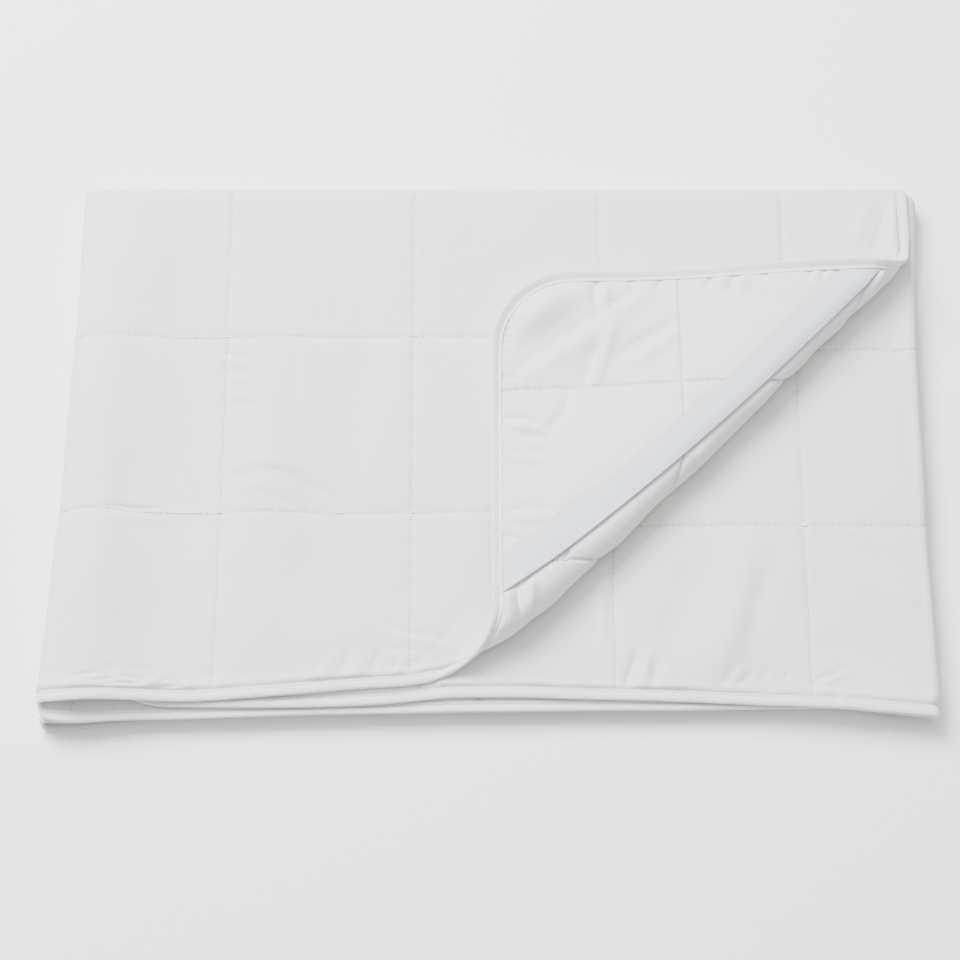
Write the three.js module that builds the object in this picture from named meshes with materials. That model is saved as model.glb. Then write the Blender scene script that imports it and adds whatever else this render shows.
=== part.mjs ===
// Quilted mattress protector for a single bed, folded for storage.
// One quilted pad, a binding tape round its whole edge and an elastic strap across a corner.
// The pad is folded in three along its length and then in half, and the near right corner
// of the top panel is turned back, so that the strap on its underside shows.
// Millimetres, X to the right, Y to the back, Z up.

import * as THREE from 'three';

// The cloth laid flat: s runs along its length, t across its width.
const CLOTH_LENGTH = 2000;
const CLOTH_WIDTH = 900;
const CORNER_RADIUS = 66;
const PAD_THICKNESS = 4.2;
const SEWN_THICKNESS = 1.4;
const QUILT_PITCH_ALONG = 149.3;
const QUILT_PITCH_ACROSS = 150;
const FIRST_LINE_ALONG = 104.2;
const FIRST_LINE_ACROSS = 150;
const PUFF_RISE = 75;
const PUFF_SHARPNESS = 0.25;

// The binding tape and the strap.
const TAPE_WIDTH = 8.5;
const TAPE_THICKNESS = 3.2;
const STRAP_WIDTH = 24;
const STRAP_THICKNESS = 1.2;
const STRAP_FROM_RIGHT_EDGE = 296;
const STRAP_FROM_FRONT_EDGE = 269;
const STRAP_BOW = 8;
const STRAP_LIFT = 1.1;
const GAP = 0.5;

// The fold in three: where the free edge and the two folds lie, seen from the front.
const LAYER_PITCH = 5;
const FREE_EDGE_X = 336.5;
const LEFT_FOLD_X = -331;
const RIGHT_FOLD_X = 332.5;
const TOP_LEVEL = 2.5 * LAYER_PITCH;
const TUCKED_LEVEL = 1.5 * LAYER_PITCH;
const INNER_LEVEL = 0.5 * LAYER_PITCH;

// The fold in half at the back. The weight presses the lowest crowns flat by PRESSED.
const FRONT_EDGE_Y = 5;
const BACK_FOLD_Y = 428.6;
const PRESSED = 0.35;
const MIDDLE_HEIGHT = TOP_LEVEL + PAD_THICKNESS / 2 - PRESSED;

// The turned back corner: the legs that its fold line cuts from the corner of the cloth, how
// deep and how high its soft roll is and how much cloth it takes, how far the flap has slid
// along the fold, how far back it sinks and how high it then lies.
const TURN = {
  legFront: 388.5,
  legRight: 388.5,
  rollDepth: 13,
  rollRise: 15,
  rollLength: 58,
  slide: 9.6,
  sinkLength: 150,
  rest: 5.4,
};

const { cos, sin, PI, hypot, max, min, abs } = Math;
const smoothstep = (value, from, to) => THREE.MathUtils.smoothstep(value, from, to);

// Where the front edge of each layer lies in Y, for places from left to right. The layers
// are named from the top down. MIDDLE_SLIDE is how far each one has slid in Y further back.
const LAYERS = ['top', 'tucked', 'inner', 'innerLow', 'tuckedLow', 'bottom'];
const FRONT_EDGES = [
  { x: -345, top: -2, tucked: 0, inner: -7, innerLow: -9.5, tuckedLow: -10.5, bottom: -14 },
  { x: -315, top: 1, tucked: 0, inner: -13, innerLow: -11.5, tuckedLow: -10, bottom: -12 },
  { x: -280, top: 3, tucked: 1, inner: -9, innerLow: -7.5, tuckedLow: -7, bottom: -8 },
  { x: -230, top: 3, tucked: 0, inner: -7.5, innerLow: -5, tuckedLow: -3, bottom: -3.5 },
  { x: -150, top: 9, tucked: 0, inner: -4.5, innerLow: -1, tuckedLow: 0, bottom: 1 },
  { x: -100, top: 13.5, tucked: 1.5, inner: -3.5, innerLow: 0, tuckedLow: 2, bottom: 4 },
  { x: -63, top: 15.5, tucked: 4.5, inner: -3, innerLow: 1, tuckedLow: 3, bottom: 5 },
  { x: -45, top: 20, tucked: 7.5, inner: -2.5, innerLow: 1.5, tuckedLow: 3.5, bottom: 5.5 },
  { x: -15, top: 22, tucked: 8, inner: -2, innerLow: 2, tuckedLow: 4, bottom: 6 },
  { x: 20, top: 14, tucked: 8, inner: -2, innerLow: 2, tuckedLow: 4, bottom: 6 },
  { x: 60, top: 5, tucked: 6.5, inner: -1, innerLow: 3, tuckedLow: 5, bottom: 7 },
  { x: 130, top: 5, tucked: 5, inner: -1, innerLow: 3, tuckedLow: 5, bottom: 7 },
  { x: 260, top: 5, tucked: -1, inner: 1, innerLow: 3, tuckedLow: 4, bottom: 5 },
  { x: 335, top: 5, tucked: -8, inner: -6, innerLow: -3, tuckedLow: -1, bottom: 2 },
];
const MIDDLE_SLIDE = { top: 0, tucked: -9, inner: -8, innerLow: -6, tuckedLow: -4, bottom: 0 };
const FRONT_FADE = 130;
const BACK_FADE = 100;

// How far the left and the right fold wander in X, for places from front to back.
const SIDE_DRIFT = [
  { y: 0, left: -11, right: -2 },
  { y: 50, left: -9, right: 0 },
  { y: 160, left: -3, right: -1 },
  { y: 250, left: -1, right: 0 },
  { y: 345, left: 1, right: 2 },
  { y: 420, left: 0, right: 9 },
];
const DRIFT_REACH = 130;

// Where the layers lift off each other: the open folds at the left and a few soft swells.
const LIFTS = [
  { x: -325, y: 0, reachX: 108, reachY: 240, top: 9.5, tucked: 3.5, inner: 0, innerLow: 0, tuckedLow: 0 },
  { x: -330, y: 0, reachX: 90, reachY: 200, top: 5.5, tucked: 5.5, inner: 5.5, innerLow: 5.5, tuckedLow: 3 },
  { x: -302, y: 210, reachX: 62, reachY: 230, top: 3.5, tucked: 0, inner: 0, innerLow: 0, tuckedLow: 0 },
  { x: -140, y: 60, reachX: 90, reachY: 110, top: 2, tucked: 0, inner: 0, innerLow: 0, tuckedLow: 0 },
  { x: -90, y: 250, reachX: 120, reachY: 130, top: 1.5, tucked: 0, inner: 0, innerLow: 0, tuckedLow: 0 },
  { x: 90, y: 325, reachX: 80, reachY: 70, top: 4, tucked: 0, inner: 0, innerLow: 0, tuckedLow: 0 },
  { x: 30, y: 250, reachX: 60, reachY: 90, top: 2.5, tucked: 0, inner: 0, innerLow: 0, tuckedLow: 0 },
  { x: 160, y: 60, reachX: 110, reachY: 60, top: 1.5, tucked: 1.5, inner: 0, innerLow: 0, tuckedLow: 0 },
  { x: 310, y: 410, reachX: 70, reachY: 70, top: 2, tucked: 0.5, inner: 0, innerLow: 0, tuckedLow: 0 },
];

// Steps of the mesh: along the cloth for each stretch of the fold in three.
const TOP_LENGTH = FREE_EDGE_X - LEFT_FOLD_X;
const LEFT_ARC_LENGTH = PI * (TOP_LEVEL - INNER_LEVEL) / 2;
const INNER_LENGTH = RIGHT_FOLD_X - LEFT_FOLD_X;
const RIGHT_ARC_LENGTH = PI * (TUCKED_LEVEL - INNER_LEVEL) / 2;
const LEFT_ARC_START = TOP_LENGTH;
const INNER_START = LEFT_ARC_START + LEFT_ARC_LENGTH;
const RIGHT_ARC_START = INNER_START + INNER_LENGTH;
const TUCKED_START = RIGHT_ARC_START + RIGHT_ARC_LENGTH;
const BACK_ARC_START = BACK_FOLD_Y - FRONT_EDGE_Y;
const BACK_ARC_END = CLOTH_WIDTH - BACK_ARC_START;

// The value of one column of a table at a place, eased from row to row.
function readTable(rows, key, place, column) {
  const last = rows.length - 1;
  if (place <= rows[0][key]) return rows[0][column];
  if (place >= rows[last][key]) return rows[last][column];
  const next = rows.findIndex((row) => row[key] > place);
  const before = rows[next - 1];
  const after = rows[next];
  const share = smoothstep(place, before[key], after[key]);
  return before[column] + (after[column] - before[column]) * share;
}

// A value that each layer has, read for a level between two layers.
function betweenLayers(level, valueOf) {
  const depth = (TOP_LEVEL - level) / LAYER_PITCH;
  const upper = min(max(Math.floor(depth), 0), LAYERS.length - 2);
  const share = min(max(depth - upper, 0), 1);
  return valueOf(LAYERS[upper]) * (1 - share) + valueOf(LAYERS[upper + 1]) * share;
}

// The fold in three: X and height above the middle of the stack for a place along the cloth.
function foldInThree(s) {
  if (s < LEFT_ARC_START) return { x: FREE_EDGE_X - s, height: TOP_LEVEL };
  if (s < INNER_START) {
    const radius = (TOP_LEVEL - INNER_LEVEL) / 2;
    const angle = (s - LEFT_ARC_START) / radius;
    return { x: LEFT_FOLD_X - radius * sin(angle), height: INNER_LEVEL + radius * (1 + cos(angle)) };
  }
  if (s < RIGHT_ARC_START) return { x: LEFT_FOLD_X + s - INNER_START, height: INNER_LEVEL };
  if (s < TUCKED_START) {
    const radius = (TUCKED_LEVEL - INNER_LEVEL) / 2;
    const angle = (s - RIGHT_ARC_START) / radius;
    return { x: RIGHT_FOLD_X + radius * sin(angle), height: TUCKED_LEVEL - radius * (1 + cos(angle)) };
  }
  return { x: RIGHT_FOLD_X - (s - TUCKED_START), height: TUCKED_LEVEL };
}

// The fold in half: Y and signed level for a place across the cloth.
function foldInHalf(t, height) {
  if (t < BACK_ARC_START) return { y: FRONT_EDGE_Y + t, level: height };
  if (t > BACK_ARC_END) return { y: FRONT_EDGE_Y + CLOTH_WIDTH - t, level: -height };
  const angle = PI * (t - BACK_ARC_START) / (BACK_ARC_END - BACK_ARC_START);
  return { y: BACK_FOLD_Y + height * sin(angle), level: height * cos(angle) };
}

// How far a place on the cloth lies past the fold line of the turned corner.
const TURN_SPAN = hypot(TURN.legFront, TURN.legRight);
function pastTurnLine(s, t) {
  return ((TURN.legFront - s) * TURN.legRight - t * TURN.legFront) / TURN_SPAN;
}

// The turned corner: a half roll, then the flap, which lies back and sinks onto the top panel.
function turnCorner(spot, past) {
  const outX = TURN.legRight / TURN_SPAN;
  const outY = -TURN.legFront / TURN_SPAN;
  const angle = PI * min(past, TURN.rollLength) / TURN.rollLength;
  const beyond = max(past - TURN.rollLength, 0);
  const out = TURN.rollDepth * sin(angle) - beyond - past;
  const slide = TURN.slide * smoothstep(past, 0, TURN.rollLength);
  const sunk = smoothstep(beyond, 0, TURN.sinkLength) * (2 * TURN.rollRise - TURN.rest);
  return {
    x: spot.x + outX * out - outY * slide,
    y: spot.y + outY * out + outX * slide,
    level: spot.level,
    rise: TURN.rollRise * (1 - cos(angle)) - sunk,
  };
}

const bell = (distance, reach) => (abs(distance) < reach ? (1 + cos(PI * distance / reach)) / 2 : 0);

// The middle of the cloth at a place, folded.
function place(s, t) {
  const across = foldInThree(s);
  const back = foldInHalf(t, across.height);
  let spot = { x: across.x, y: back.y, level: back.level, rise: 0 };
  const past = pastTurnLine(s, t);
  if (past > 0) spot = turnCorner(spot, past);

  const forward = betweenLayers(spot.level, (layer) => {
    const edge = readTable(FRONT_EDGES, 'x', spot.x, layer) - FRONT_EDGE_Y;
    const share = 1 - smoothstep(spot.y - FRONT_EDGE_Y, 0, FRONT_FADE);
    return edge * share + MIDDLE_SLIDE[layer] * (1 - share);
  });
  const atBack = smoothstep(spot.y, BACK_FOLD_Y - BACK_FADE, BACK_FOLD_Y);
  const leftShare = smoothstep(-spot.x, -LEFT_FOLD_X - DRIFT_REACH, -LEFT_FOLD_X);
  const rightShare = smoothstep(spot.x, RIGHT_FOLD_X - DRIFT_REACH, RIGHT_FOLD_X);
  const underTop = 1 - smoothstep(across.height, TUCKED_LEVEL, TOP_LEVEL);
  const lift = LIFTS.reduce((sum, row) => {
    const amount = betweenLayers(spot.level, (layer) => row[layer] ?? 0);
    return sum + amount * bell(spot.x - row.x, row.reachX) * bell(spot.y - row.y, row.reachY);
  }, 0);
  return new THREE.Vector3(
    spot.x + leftShare * readTable(SIDE_DRIFT, 'y', spot.y, 'left')
      + rightShare * underTop * readTable(SIDE_DRIFT, 'y', spot.y, 'right'),
    spot.y + forward * (1 - atBack),
    MIDDLE_HEIGHT + spot.level + spot.rise + lift * (1 - atBack),
  );
}

// The cloth's direction away from its backing, at a place.
const PROBE = 0.4;
function faceDirection(s, t) {
  const along = place(s - PROBE, t).sub(place(s + PROBE, t));
  const across = place(s, t + PROBE).sub(place(s, t - PROBE));
  return along.cross(across).normalize();
}

// A point of the cloth at a height above its middle, kept on or above the surface it lies on.
function clothPoint(s, t, height) {
  const point = place(s, t).addScaledVector(faceDirection(s, t), height);
  point.z = max(point.z, 0);
  return point;
}

// The quilt lines, and how full the pad is between them.
const linesAlong = [];
for (let s = FIRST_LINE_ALONG; s < CLOTH_LENGTH; s += QUILT_PITCH_ALONG) linesAlong.push(s);
const linesAcross = [];
for (let t = FIRST_LINE_ACROSS; t < CLOTH_WIDTH; t += QUILT_PITCH_ACROSS) linesAcross.push(t);

const PAD_INSET = TAPE_WIDTH + GAP;
const seamsAlong = [PAD_INSET, ...linesAlong, CLOTH_LENGTH - PAD_INSET];
const seamsAcross = [PAD_INSET, ...linesAcross, CLOTH_WIDTH - PAD_INSET];

function halfThickness(s, t) {
  const away = (seams, place) => min(...seams.map((seam) => abs(seam - place)));
  const rise = (distance) => sin(PI / 2 * min(1, distance / PUFF_RISE)) ** PUFF_SHARPNESS;
  const full = rise(away(seamsAlong, s)) * rise(away(seamsAcross, t));
  return (SEWN_THICKNESS + (PAD_THICKNESS - SEWN_THICKNESS) * full) / 2;
}

// The mesh lines of the pad: every seam, the foot of its groove on both sides, a few lines
// over the puff, and close steps round the folds.
const GROOVE = 0.06;
const PUFF_LINES = [GROOVE, 0.5, 1 - GROOVE];
const FINE_PUFF_LINES = [GROOVE, 0.36, 0.64, 1 - GROOVE];
function meshLines(seams, folds, sharesFor) {
  const near = (value, list) => list.some((other) => abs(other - value) < 3);
  const bends = folds.flatMap(({ from, to, steps }) => (
    Array.from({ length: steps + 1 }, (_, i) => from + (to - from) * i / steps)
  ));
  const inBend = (value) => folds.some(({ from, to }) => value > from - 3 && value < to + 3);
  const lines = [...bends, ...seams.filter((seam) => !inBend(seam))];
  for (let i = 1; i < seams.length; i += 1) {
    sharesFor((seams[i] + seams[i - 1]) / 2).forEach((share) => {
      const line = seams[i - 1] + (seams[i] - seams[i - 1]) * share;
      if (!inBend(line) && !near(line, lines)) lines.push(line);
    });
  }
  return lines.sort((one, other) => one - other);
}

const meshAlong = meshLines(
  seamsAlong,
  [
    { from: LEFT_ARC_START, to: INNER_START, steps: 6 },
    { from: RIGHT_ARC_START, to: TUCKED_START, steps: 4 },
  ],
  (s) => (s < INNER_START ? FINE_PUFF_LINES : PUFF_LINES),
);
const meshAcross = meshLines(
  seamsAcross,
  [{ from: BACK_ARC_START, to: BACK_ARC_END, steps: 6 }],
  () => PUFF_LINES,
);

// A polygon of the flat cloth cut by a line; side says which part is wanted, or both.
const SNAP = 0.9;
function cutPolygon(polygon, distanceTo) {
  const parts = { inside: [], outside: [] };
  polygon.forEach((point, i) => {
    const next = polygon[(i + 1) % polygon.length];
    const here = distanceTo(point);
    const there = distanceTo(next);
    if (here > -SNAP) parts.outside.push(point);
    if (here < SNAP) parts.inside.push(point);
    if ((here > SNAP && there < -SNAP) || (here < -SNAP && there > SNAP)) {
      const crossing = point.clone().lerp(next, here / (here - there));
      parts.outside.push(crossing);
      parts.inside.push(crossing);
    }
  });
  const whole = (part) => part.length > 2 && part.some((point) => abs(distanceTo(point)) > SNAP);
  return {
    inside: whole(parts.inside) ? parts.inside : null,
    outside: whole(parts.outside) ? parts.outside : null,
  };
}

// The flat pad as polygons: a grid, split along the turned corner's roll, with round corners.
function padPolygons() {
  let polygons = [];
  for (let i = 1; i < meshAlong.length; i += 1) {
    for (let k = 1; k < meshAcross.length; k += 1) {
      polygons.push([
        new THREE.Vector2(meshAlong[i - 1], meshAcross[k - 1]),
        new THREE.Vector2(meshAlong[i], meshAcross[k - 1]),
        new THREE.Vector2(meshAlong[i], meshAcross[k]),
        new THREE.Vector2(meshAlong[i - 1], meshAcross[k]),
      ]);
    }
  }
  const rollSteps = 6;
  const afterRoll = [14, 28, 42, 56, 80, 110];
  const cuts = [-12];
  for (let k = 0; k <= rollSteps; k += 1) cuts.push(TURN.rollLength * k / rollSteps);
  afterRoll.forEach((distance) => cuts.push(TURN.rollLength + distance));
  cuts.forEach((cut) => {
    polygons = polygons.flatMap((polygon) => {
      const parts = cutPolygon(polygon, (point) => pastTurnLine(point.x, point.y) - cut);
      return [parts.inside, parts.outside].filter(Boolean);
    });
  });
  const cornerSteps = 5;
  const radius = CORNER_RADIUS - PAD_INSET;
  [[0, 0], [1, 0], [0, 1], [1, 1]].forEach(([endS, endT]) => {
    const centre = new THREE.Vector2(
      endS ? CLOTH_LENGTH - CORNER_RADIUS : CORNER_RADIUS,
      endT ? CLOTH_WIDTH - CORNER_RADIUS : CORNER_RADIUS,
    );
    for (let k = 0; k < cornerSteps; k += 1) {
      const angle = PI / 2 * (k + 0.5) / cornerSteps;
      const out = new THREE.Vector2(endS ? cos(angle) : -cos(angle), endT ? sin(angle) : -sin(angle));
      const reach = radius * cos(PI / 4 / cornerSteps);
      polygons = polygons.map((polygon) => (
        cutPolygon(polygon, (point) => point.clone().sub(centre).dot(out) - reach).inside
      )).filter(Boolean);
    }
  });
  return polygons;
}

// The pad's flat points, faces and edge loop.
function flatPad() {
  const points = [];
  const numbers = new Map();
  const numberOf = (point) => {
    const key = `${point.x.toFixed(3)},${point.y.toFixed(3)}`;
    if (!numbers.has(key)) {
      numbers.set(key, points.length);
      points.push(point);
    }
    return numbers.get(key);
  };
  const faces = [];
  padPolygons().forEach((polygon) => {
    const corners = polygon.map(numberOf).filter((number, i, list) => number !== list[(i + 1) % list.length]);
    if (corners.length === 4) {
      const diagonals = [[0, 1, 2, 3], [1, 2, 3, 0]].map((order) => order.map((i) => corners[i]));
      const rising = ([a, , c]) => (points[a].x - points[c].x) * (points[a].y - points[c].y) < 0;
      const [a, b, c, d] = rising(diagonals[0]) ? diagonals[0] : diagonals[1];
      faces.push([a, b, c], [a, c, d]);
    } else {
      for (let i = 2; i < corners.length; i += 1) faces.push([corners[0], corners[i - 1], corners[i]]);
    }
  });
  const next = new Map();
  faces.forEach((face) => face.forEach((from, i) => next.set(`${from},${face[(i + 1) % 3]}`, true)));
  const follow = new Map();
  next.forEach((_, edge) => {
    const [from, to] = edge.split(',').map(Number);
    if (!next.has(`${to},${from}`)) follow.set(from, to);
  });
  const [first] = follow.keys();
  const loop = [first];
  while (follow.get(loop.at(-1)) !== first) loop.push(follow.get(loop.at(-1)));
  return { points, faces, loop };
}

function closedGeometry(vertices, triangles) {
  const geometry = new THREE.BufferGeometry();
  const positions = vertices.flatMap((vertex) => vertex.toArray());
  geometry.setAttribute('position', new THREE.Float32BufferAttribute(positions, 3));
  geometry.setIndex(triangles.flat());
  geometry.computeVertexNormals();
  return geometry;
}

const flat = flatPad();

function padGeometry() {
  const { points, faces, loop } = flat;
  const count = points.length;
  const upper = points.map(({ x, y }) => clothPoint(x, y, halfThickness(x, y)));
  const lower = points.map(({ x, y }) => clothPoint(x, y, -halfThickness(x, y)));
  const triangles = faces.flatMap(([a, b, c]) => [[a, c, b], [a + count, b + count, c + count]]);
  loop.forEach((from, i) => {
    const to = loop[(i + 1) % loop.length];
    triangles.push([from, to, from + count], [to, to + count, from + count]);
  });
  return closedGeometry([...upper, ...lower], triangles);
}

// The direction out of the flat cloth at a point of its edge.
function outward(point) {
  const nearest = new THREE.Vector2(
    min(max(point.x, CORNER_RADIUS), CLOTH_LENGTH - CORNER_RADIUS),
    min(max(point.y, CORNER_RADIUS), CLOTH_WIDTH - CORNER_RADIUS),
  );
  return point.clone().sub(nearest).normalize();
}

// The binding: one closed ring of sections along the pad's edge, thin at its outer lip.
const TAPE_SECTION = [
  { out: GAP, height: 0.5 * TAPE_THICKNESS },
  { out: GAP + 0.75 * TAPE_WIDTH, height: 0.5 * TAPE_THICKNESS },
  { out: GAP + TAPE_WIDTH, height: 0.15 * TAPE_THICKNESS },
  { out: GAP + TAPE_WIDTH, height: -0.15 * TAPE_THICKNESS },
  { out: GAP + 0.75 * TAPE_WIDTH, height: -0.5 * TAPE_THICKNESS },
  { out: GAP, height: -0.5 * TAPE_THICKNESS },
];

function bindingGeometry() {
  const { points, loop } = flat;
  const sides = TAPE_SECTION.length;
  const vertices = loop.flatMap((number) => {
    const out = outward(points[number]);
    return TAPE_SECTION.map((corner) => {
      const spot = points[number].clone().addScaledVector(out, corner.out);
      return clothPoint(spot.x, spot.y, corner.height);
    });
  });
  const triangles = [];
  loop.forEach((_, i) => {
    const here = i * sides;
    const there = ((i + 1) % loop.length) * sides;
    for (let k = 0; k < sides; k += 1) {
      const after = (k + 1) % sides;
      triangles.push([here + k, there + k, there + after], [here + k, there + after, here + after]);
    }
  });
  return closedGeometry(vertices, triangles);
}

// The strap: a flat elastic across the corner, on the backing, from seam to seam.
function strapGeometry() {
  const start = new THREE.Vector2(PAD_INSET, STRAP_FROM_RIGHT_EDGE);
  const end = new THREE.Vector2(STRAP_FROM_FRONT_EDGE, PAD_INSET);
  const run = end.clone().sub(start);
  const sideways = new THREE.Vector2(-run.y, run.x).normalize();
  const slant = run.length() / run.x;
  const slope = run.length() / -run.y;
  const steps = 16;
  const vertices = [];
  for (let i = 0; i <= steps; i += 1) {
    const share = i / steps;
    const centre = start.clone().addScaledVector(run, share);
    centre.addScaledVector(sideways, STRAP_BOW * sin(PI * share));
    [-0.5, 0, 0.5].forEach((side) => {
      const alongEdge = side * STRAP_WIDTH;
      const spot = new THREE.Vector2(
        centre.x + alongEdge * slope * share,
        centre.y + alongEdge * slant * (1 - share),
      );
      const under = -(PAD_THICKNESS / 2 + STRAP_LIFT);
      vertices.push(clothPoint(spot.x, spot.y, under), clothPoint(spot.x, spot.y, under - STRAP_THICKNESS));
    });
  }
  const ring = [0, 2, 4, 5, 3, 1];
  const triangles = [];
  for (let i = 0; i < steps; i += 1) {
    ring.forEach((corner, k) => {
      const after = ring[(k + 1) % ring.length];
      const here = i * ring.length;
      const there = here + ring.length;
      triangles.push([here + corner, there + after, there + corner]);
      triangles.push([here + corner, here + after, there + after]);
    });
  }
  const last = steps * ring.length;
  triangles.push([0, 1, 3], [0, 3, 2], [2, 3, 5], [2, 5, 4]);
  triangles.push([last, last + 3, last + 1], [last, last + 2, last + 3]);
  triangles.push([last + 2, last + 5, last + 3], [last + 2, last + 4, last + 5]);
  return closedGeometry(vertices, triangles);
}

const padCloth = new THREE.MeshStandardMaterial({ color: 0xe4e4e1, roughness: 0.92, metalness: 0 });
const tapeCloth = new THREE.MeshStandardMaterial({ color: 0xe2e2e6, roughness: 0.85, metalness: 0 });
const elastic = new THREE.MeshStandardMaterial({ color: 0xd9dbe2, roughness: 0.75, metalness: 0 });

function piece(name, geometry, material) {
  const mesh = new THREE.Mesh(geometry, material);
  mesh.name = name;
  return mesh;
}

const protector = new THREE.Group();
protector.add(
  piece('pad', padGeometry(), padCloth),
  piece('binding', bindingGeometry(), tapeCloth),
  piece('strap', strapGeometry(), elastic),
);

// The origin is under the middle of the folded stack.
const bounds = new THREE.Box3().setFromObject(protector);
const centre = bounds.getCenter(new THREE.Vector3());
protector.position.set(-centre.x, -centre.y, -bounds.min.z);

export default protector;
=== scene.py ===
# %% [markdown]
# # A folded, quilted mattress protector
#
# The real thing is one long pad: two sheets of soft cloth with a thin filling between them,
# quilted in squares, bound with a tape round its whole edge. A flat elastic crosses each
# corner on the backing. Here it lies folded, with one corner turned back to show the elastic.
#
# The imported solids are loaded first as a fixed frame. Everything made below is set around them.

# %% Load the frame
import math
from collections import namedtuple

import bpy
import numpy as np
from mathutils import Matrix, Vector


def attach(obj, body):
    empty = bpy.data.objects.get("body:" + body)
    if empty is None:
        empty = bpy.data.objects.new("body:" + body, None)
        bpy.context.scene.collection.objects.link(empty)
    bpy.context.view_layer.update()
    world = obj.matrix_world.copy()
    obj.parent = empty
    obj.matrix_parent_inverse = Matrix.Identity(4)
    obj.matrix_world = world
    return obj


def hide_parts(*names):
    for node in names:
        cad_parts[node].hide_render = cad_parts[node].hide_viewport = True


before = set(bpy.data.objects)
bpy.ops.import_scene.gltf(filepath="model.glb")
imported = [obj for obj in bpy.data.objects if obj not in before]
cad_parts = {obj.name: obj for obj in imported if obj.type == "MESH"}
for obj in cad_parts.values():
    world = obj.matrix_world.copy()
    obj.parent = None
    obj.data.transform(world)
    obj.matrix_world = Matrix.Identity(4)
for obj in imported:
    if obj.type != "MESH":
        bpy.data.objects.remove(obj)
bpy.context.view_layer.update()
MM = 0.001

# %% [markdown]
# ## Camera
#
# The photograph looks down steeply from the front with a long lens, so that the folded pad
# shows as a rectangle and its front edges still show their layers. A camera that is set by an
# aim point, an elevation and a distance is easy to compare with the picture.

# %% Camera
CAMERA_AIM = Vector((-0.0119, -0.0215, 0.0))
CAMERA_ELEVATION = math.radians(68.9)
CAMERA_DISTANCE = 1.932
CAMERA_LENS = 91.2
CAMERA_SENSOR = 36


def linked_object(name, data):
    """A new object in the scene, at the origin."""
    made = bpy.data.objects.new(name, data)
    bpy.context.scene.collection.objects.link(made)
    return made


def add_camera():
    data = bpy.data.cameras.new("camera")
    data.lens = CAMERA_LENS
    data.sensor_width = CAMERA_SENSOR
    camera = linked_object("camera", data)
    back = Vector((0, -math.cos(CAMERA_ELEVATION), math.sin(CAMERA_ELEVATION)))
    camera.location = CAMERA_AIM + back * CAMERA_DISTANCE
    camera.rotation_mode = "QUATERNION"
    camera.rotation_quaternion = (-back).to_track_quat("-Z", "Y")
    bpy.context.scene.camera = camera
    return camera


camera = add_camera()
print("camera at", tuple(round(value, 3) for value in camera.location))

# %% [markdown]
# ## The cloth and how it is folded
#
# A sewn thing is easiest to describe flat. A place on the cloth is s along its length and t
# across its width. The pad could be draped by a simulation, but a letter fold has an exact
# order of layers, so it is worked out: first in three along s, then in half along t, and then
# the near right corner of the top layer is rolled back. All sizes are millimetres here.

# %% Cloth sizes
CLOTH_LENGTH = 2000
CLOTH_WIDTH = 900
CORNER_RADIUS = 66
PAD_THICKNESS = 4.2
SEWN_THICKNESS = 1.4
QUILT_PITCH_ALONG = 149.3
QUILT_PITCH_ACROSS = 150
FIRST_LINE_ALONG = 104.2
FIRST_LINE_ACROSS = 150
TAPE_WIDTH = 8.5
STRAP_WIDTH = 24
STRAP_THICKNESS = 1.2
STRAP_FROM_RIGHT_EDGE = 296
STRAP_FROM_FRONT_EDGE = 269
STRAP_BOW = 8
FACE, BACKING = 1, -1
print("flat cloth:", CLOTH_LENGTH, "x", CLOTH_WIDTH, "mm")

# %% Fold sizes
LAYER_PITCH = 5
FREE_EDGE_X = 336.5
LEFT_FOLD_X = -331
RIGHT_FOLD_X = 332.5
TOP_LEVEL = 2.5 * LAYER_PITCH
TUCKED_LEVEL = 1.5 * LAYER_PITCH
INNER_LEVEL = 0.5 * LAYER_PITCH
FRONT_EDGE_Y = 5
BACK_FOLD_Y = 428.6
PRESSED = 0.35
MIDDLE_HEIGHT = TOP_LEVEL + PAD_THICKNESS / 2 - PRESSED
STACK_MIDDLE = (-1.316, 214.8)

# The corner turns back on a line that meets both edges at these distances from the tip.
TURN_LEG_FRONT = 388.5
TURN_LEG_RIGHT = 388.5
ROLL_DEPTH = 13
ROLL_RISE = 15
ROLL_LENGTH = 58
TURN_SLIDE = 9.6
TURN_SINK_LENGTH = 150
TURN_REST = 5.4

# Along s: the top panel, the left arc, the inner panel, the right arc, the tucked panel.
# Along t: the upper half, the back arc, the lower half.
LEFT_ARC_START = FREE_EDGE_X - LEFT_FOLD_X
LEFT_ARC_RADIUS = (TOP_LEVEL - INNER_LEVEL) / 2
INNER_START = LEFT_ARC_START + math.pi * LEFT_ARC_RADIUS
RIGHT_ARC_START = INNER_START + RIGHT_FOLD_X - LEFT_FOLD_X
RIGHT_ARC_RADIUS = (TUCKED_LEVEL - INNER_LEVEL) / 2
TUCKED_START = RIGHT_ARC_START + math.pi * RIGHT_ARC_RADIUS
BACK_ARC_START = BACK_FOLD_Y - FRONT_EDGE_Y
BACK_ARC_END = CLOTH_WIDTH - BACK_ARC_START
TURN_SPAN = math.hypot(TURN_LEG_FRONT, TURN_LEG_RIGHT)
print("fold lines along the cloth:", round(LEFT_ARC_START), round(RIGHT_ARC_START), "mm")

# %% [markdown]
# Real layers don't lie exactly on each other. Three short tables say how far each front edge
# wanders, how the side folds lean, and where the layers lift off each other.

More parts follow.
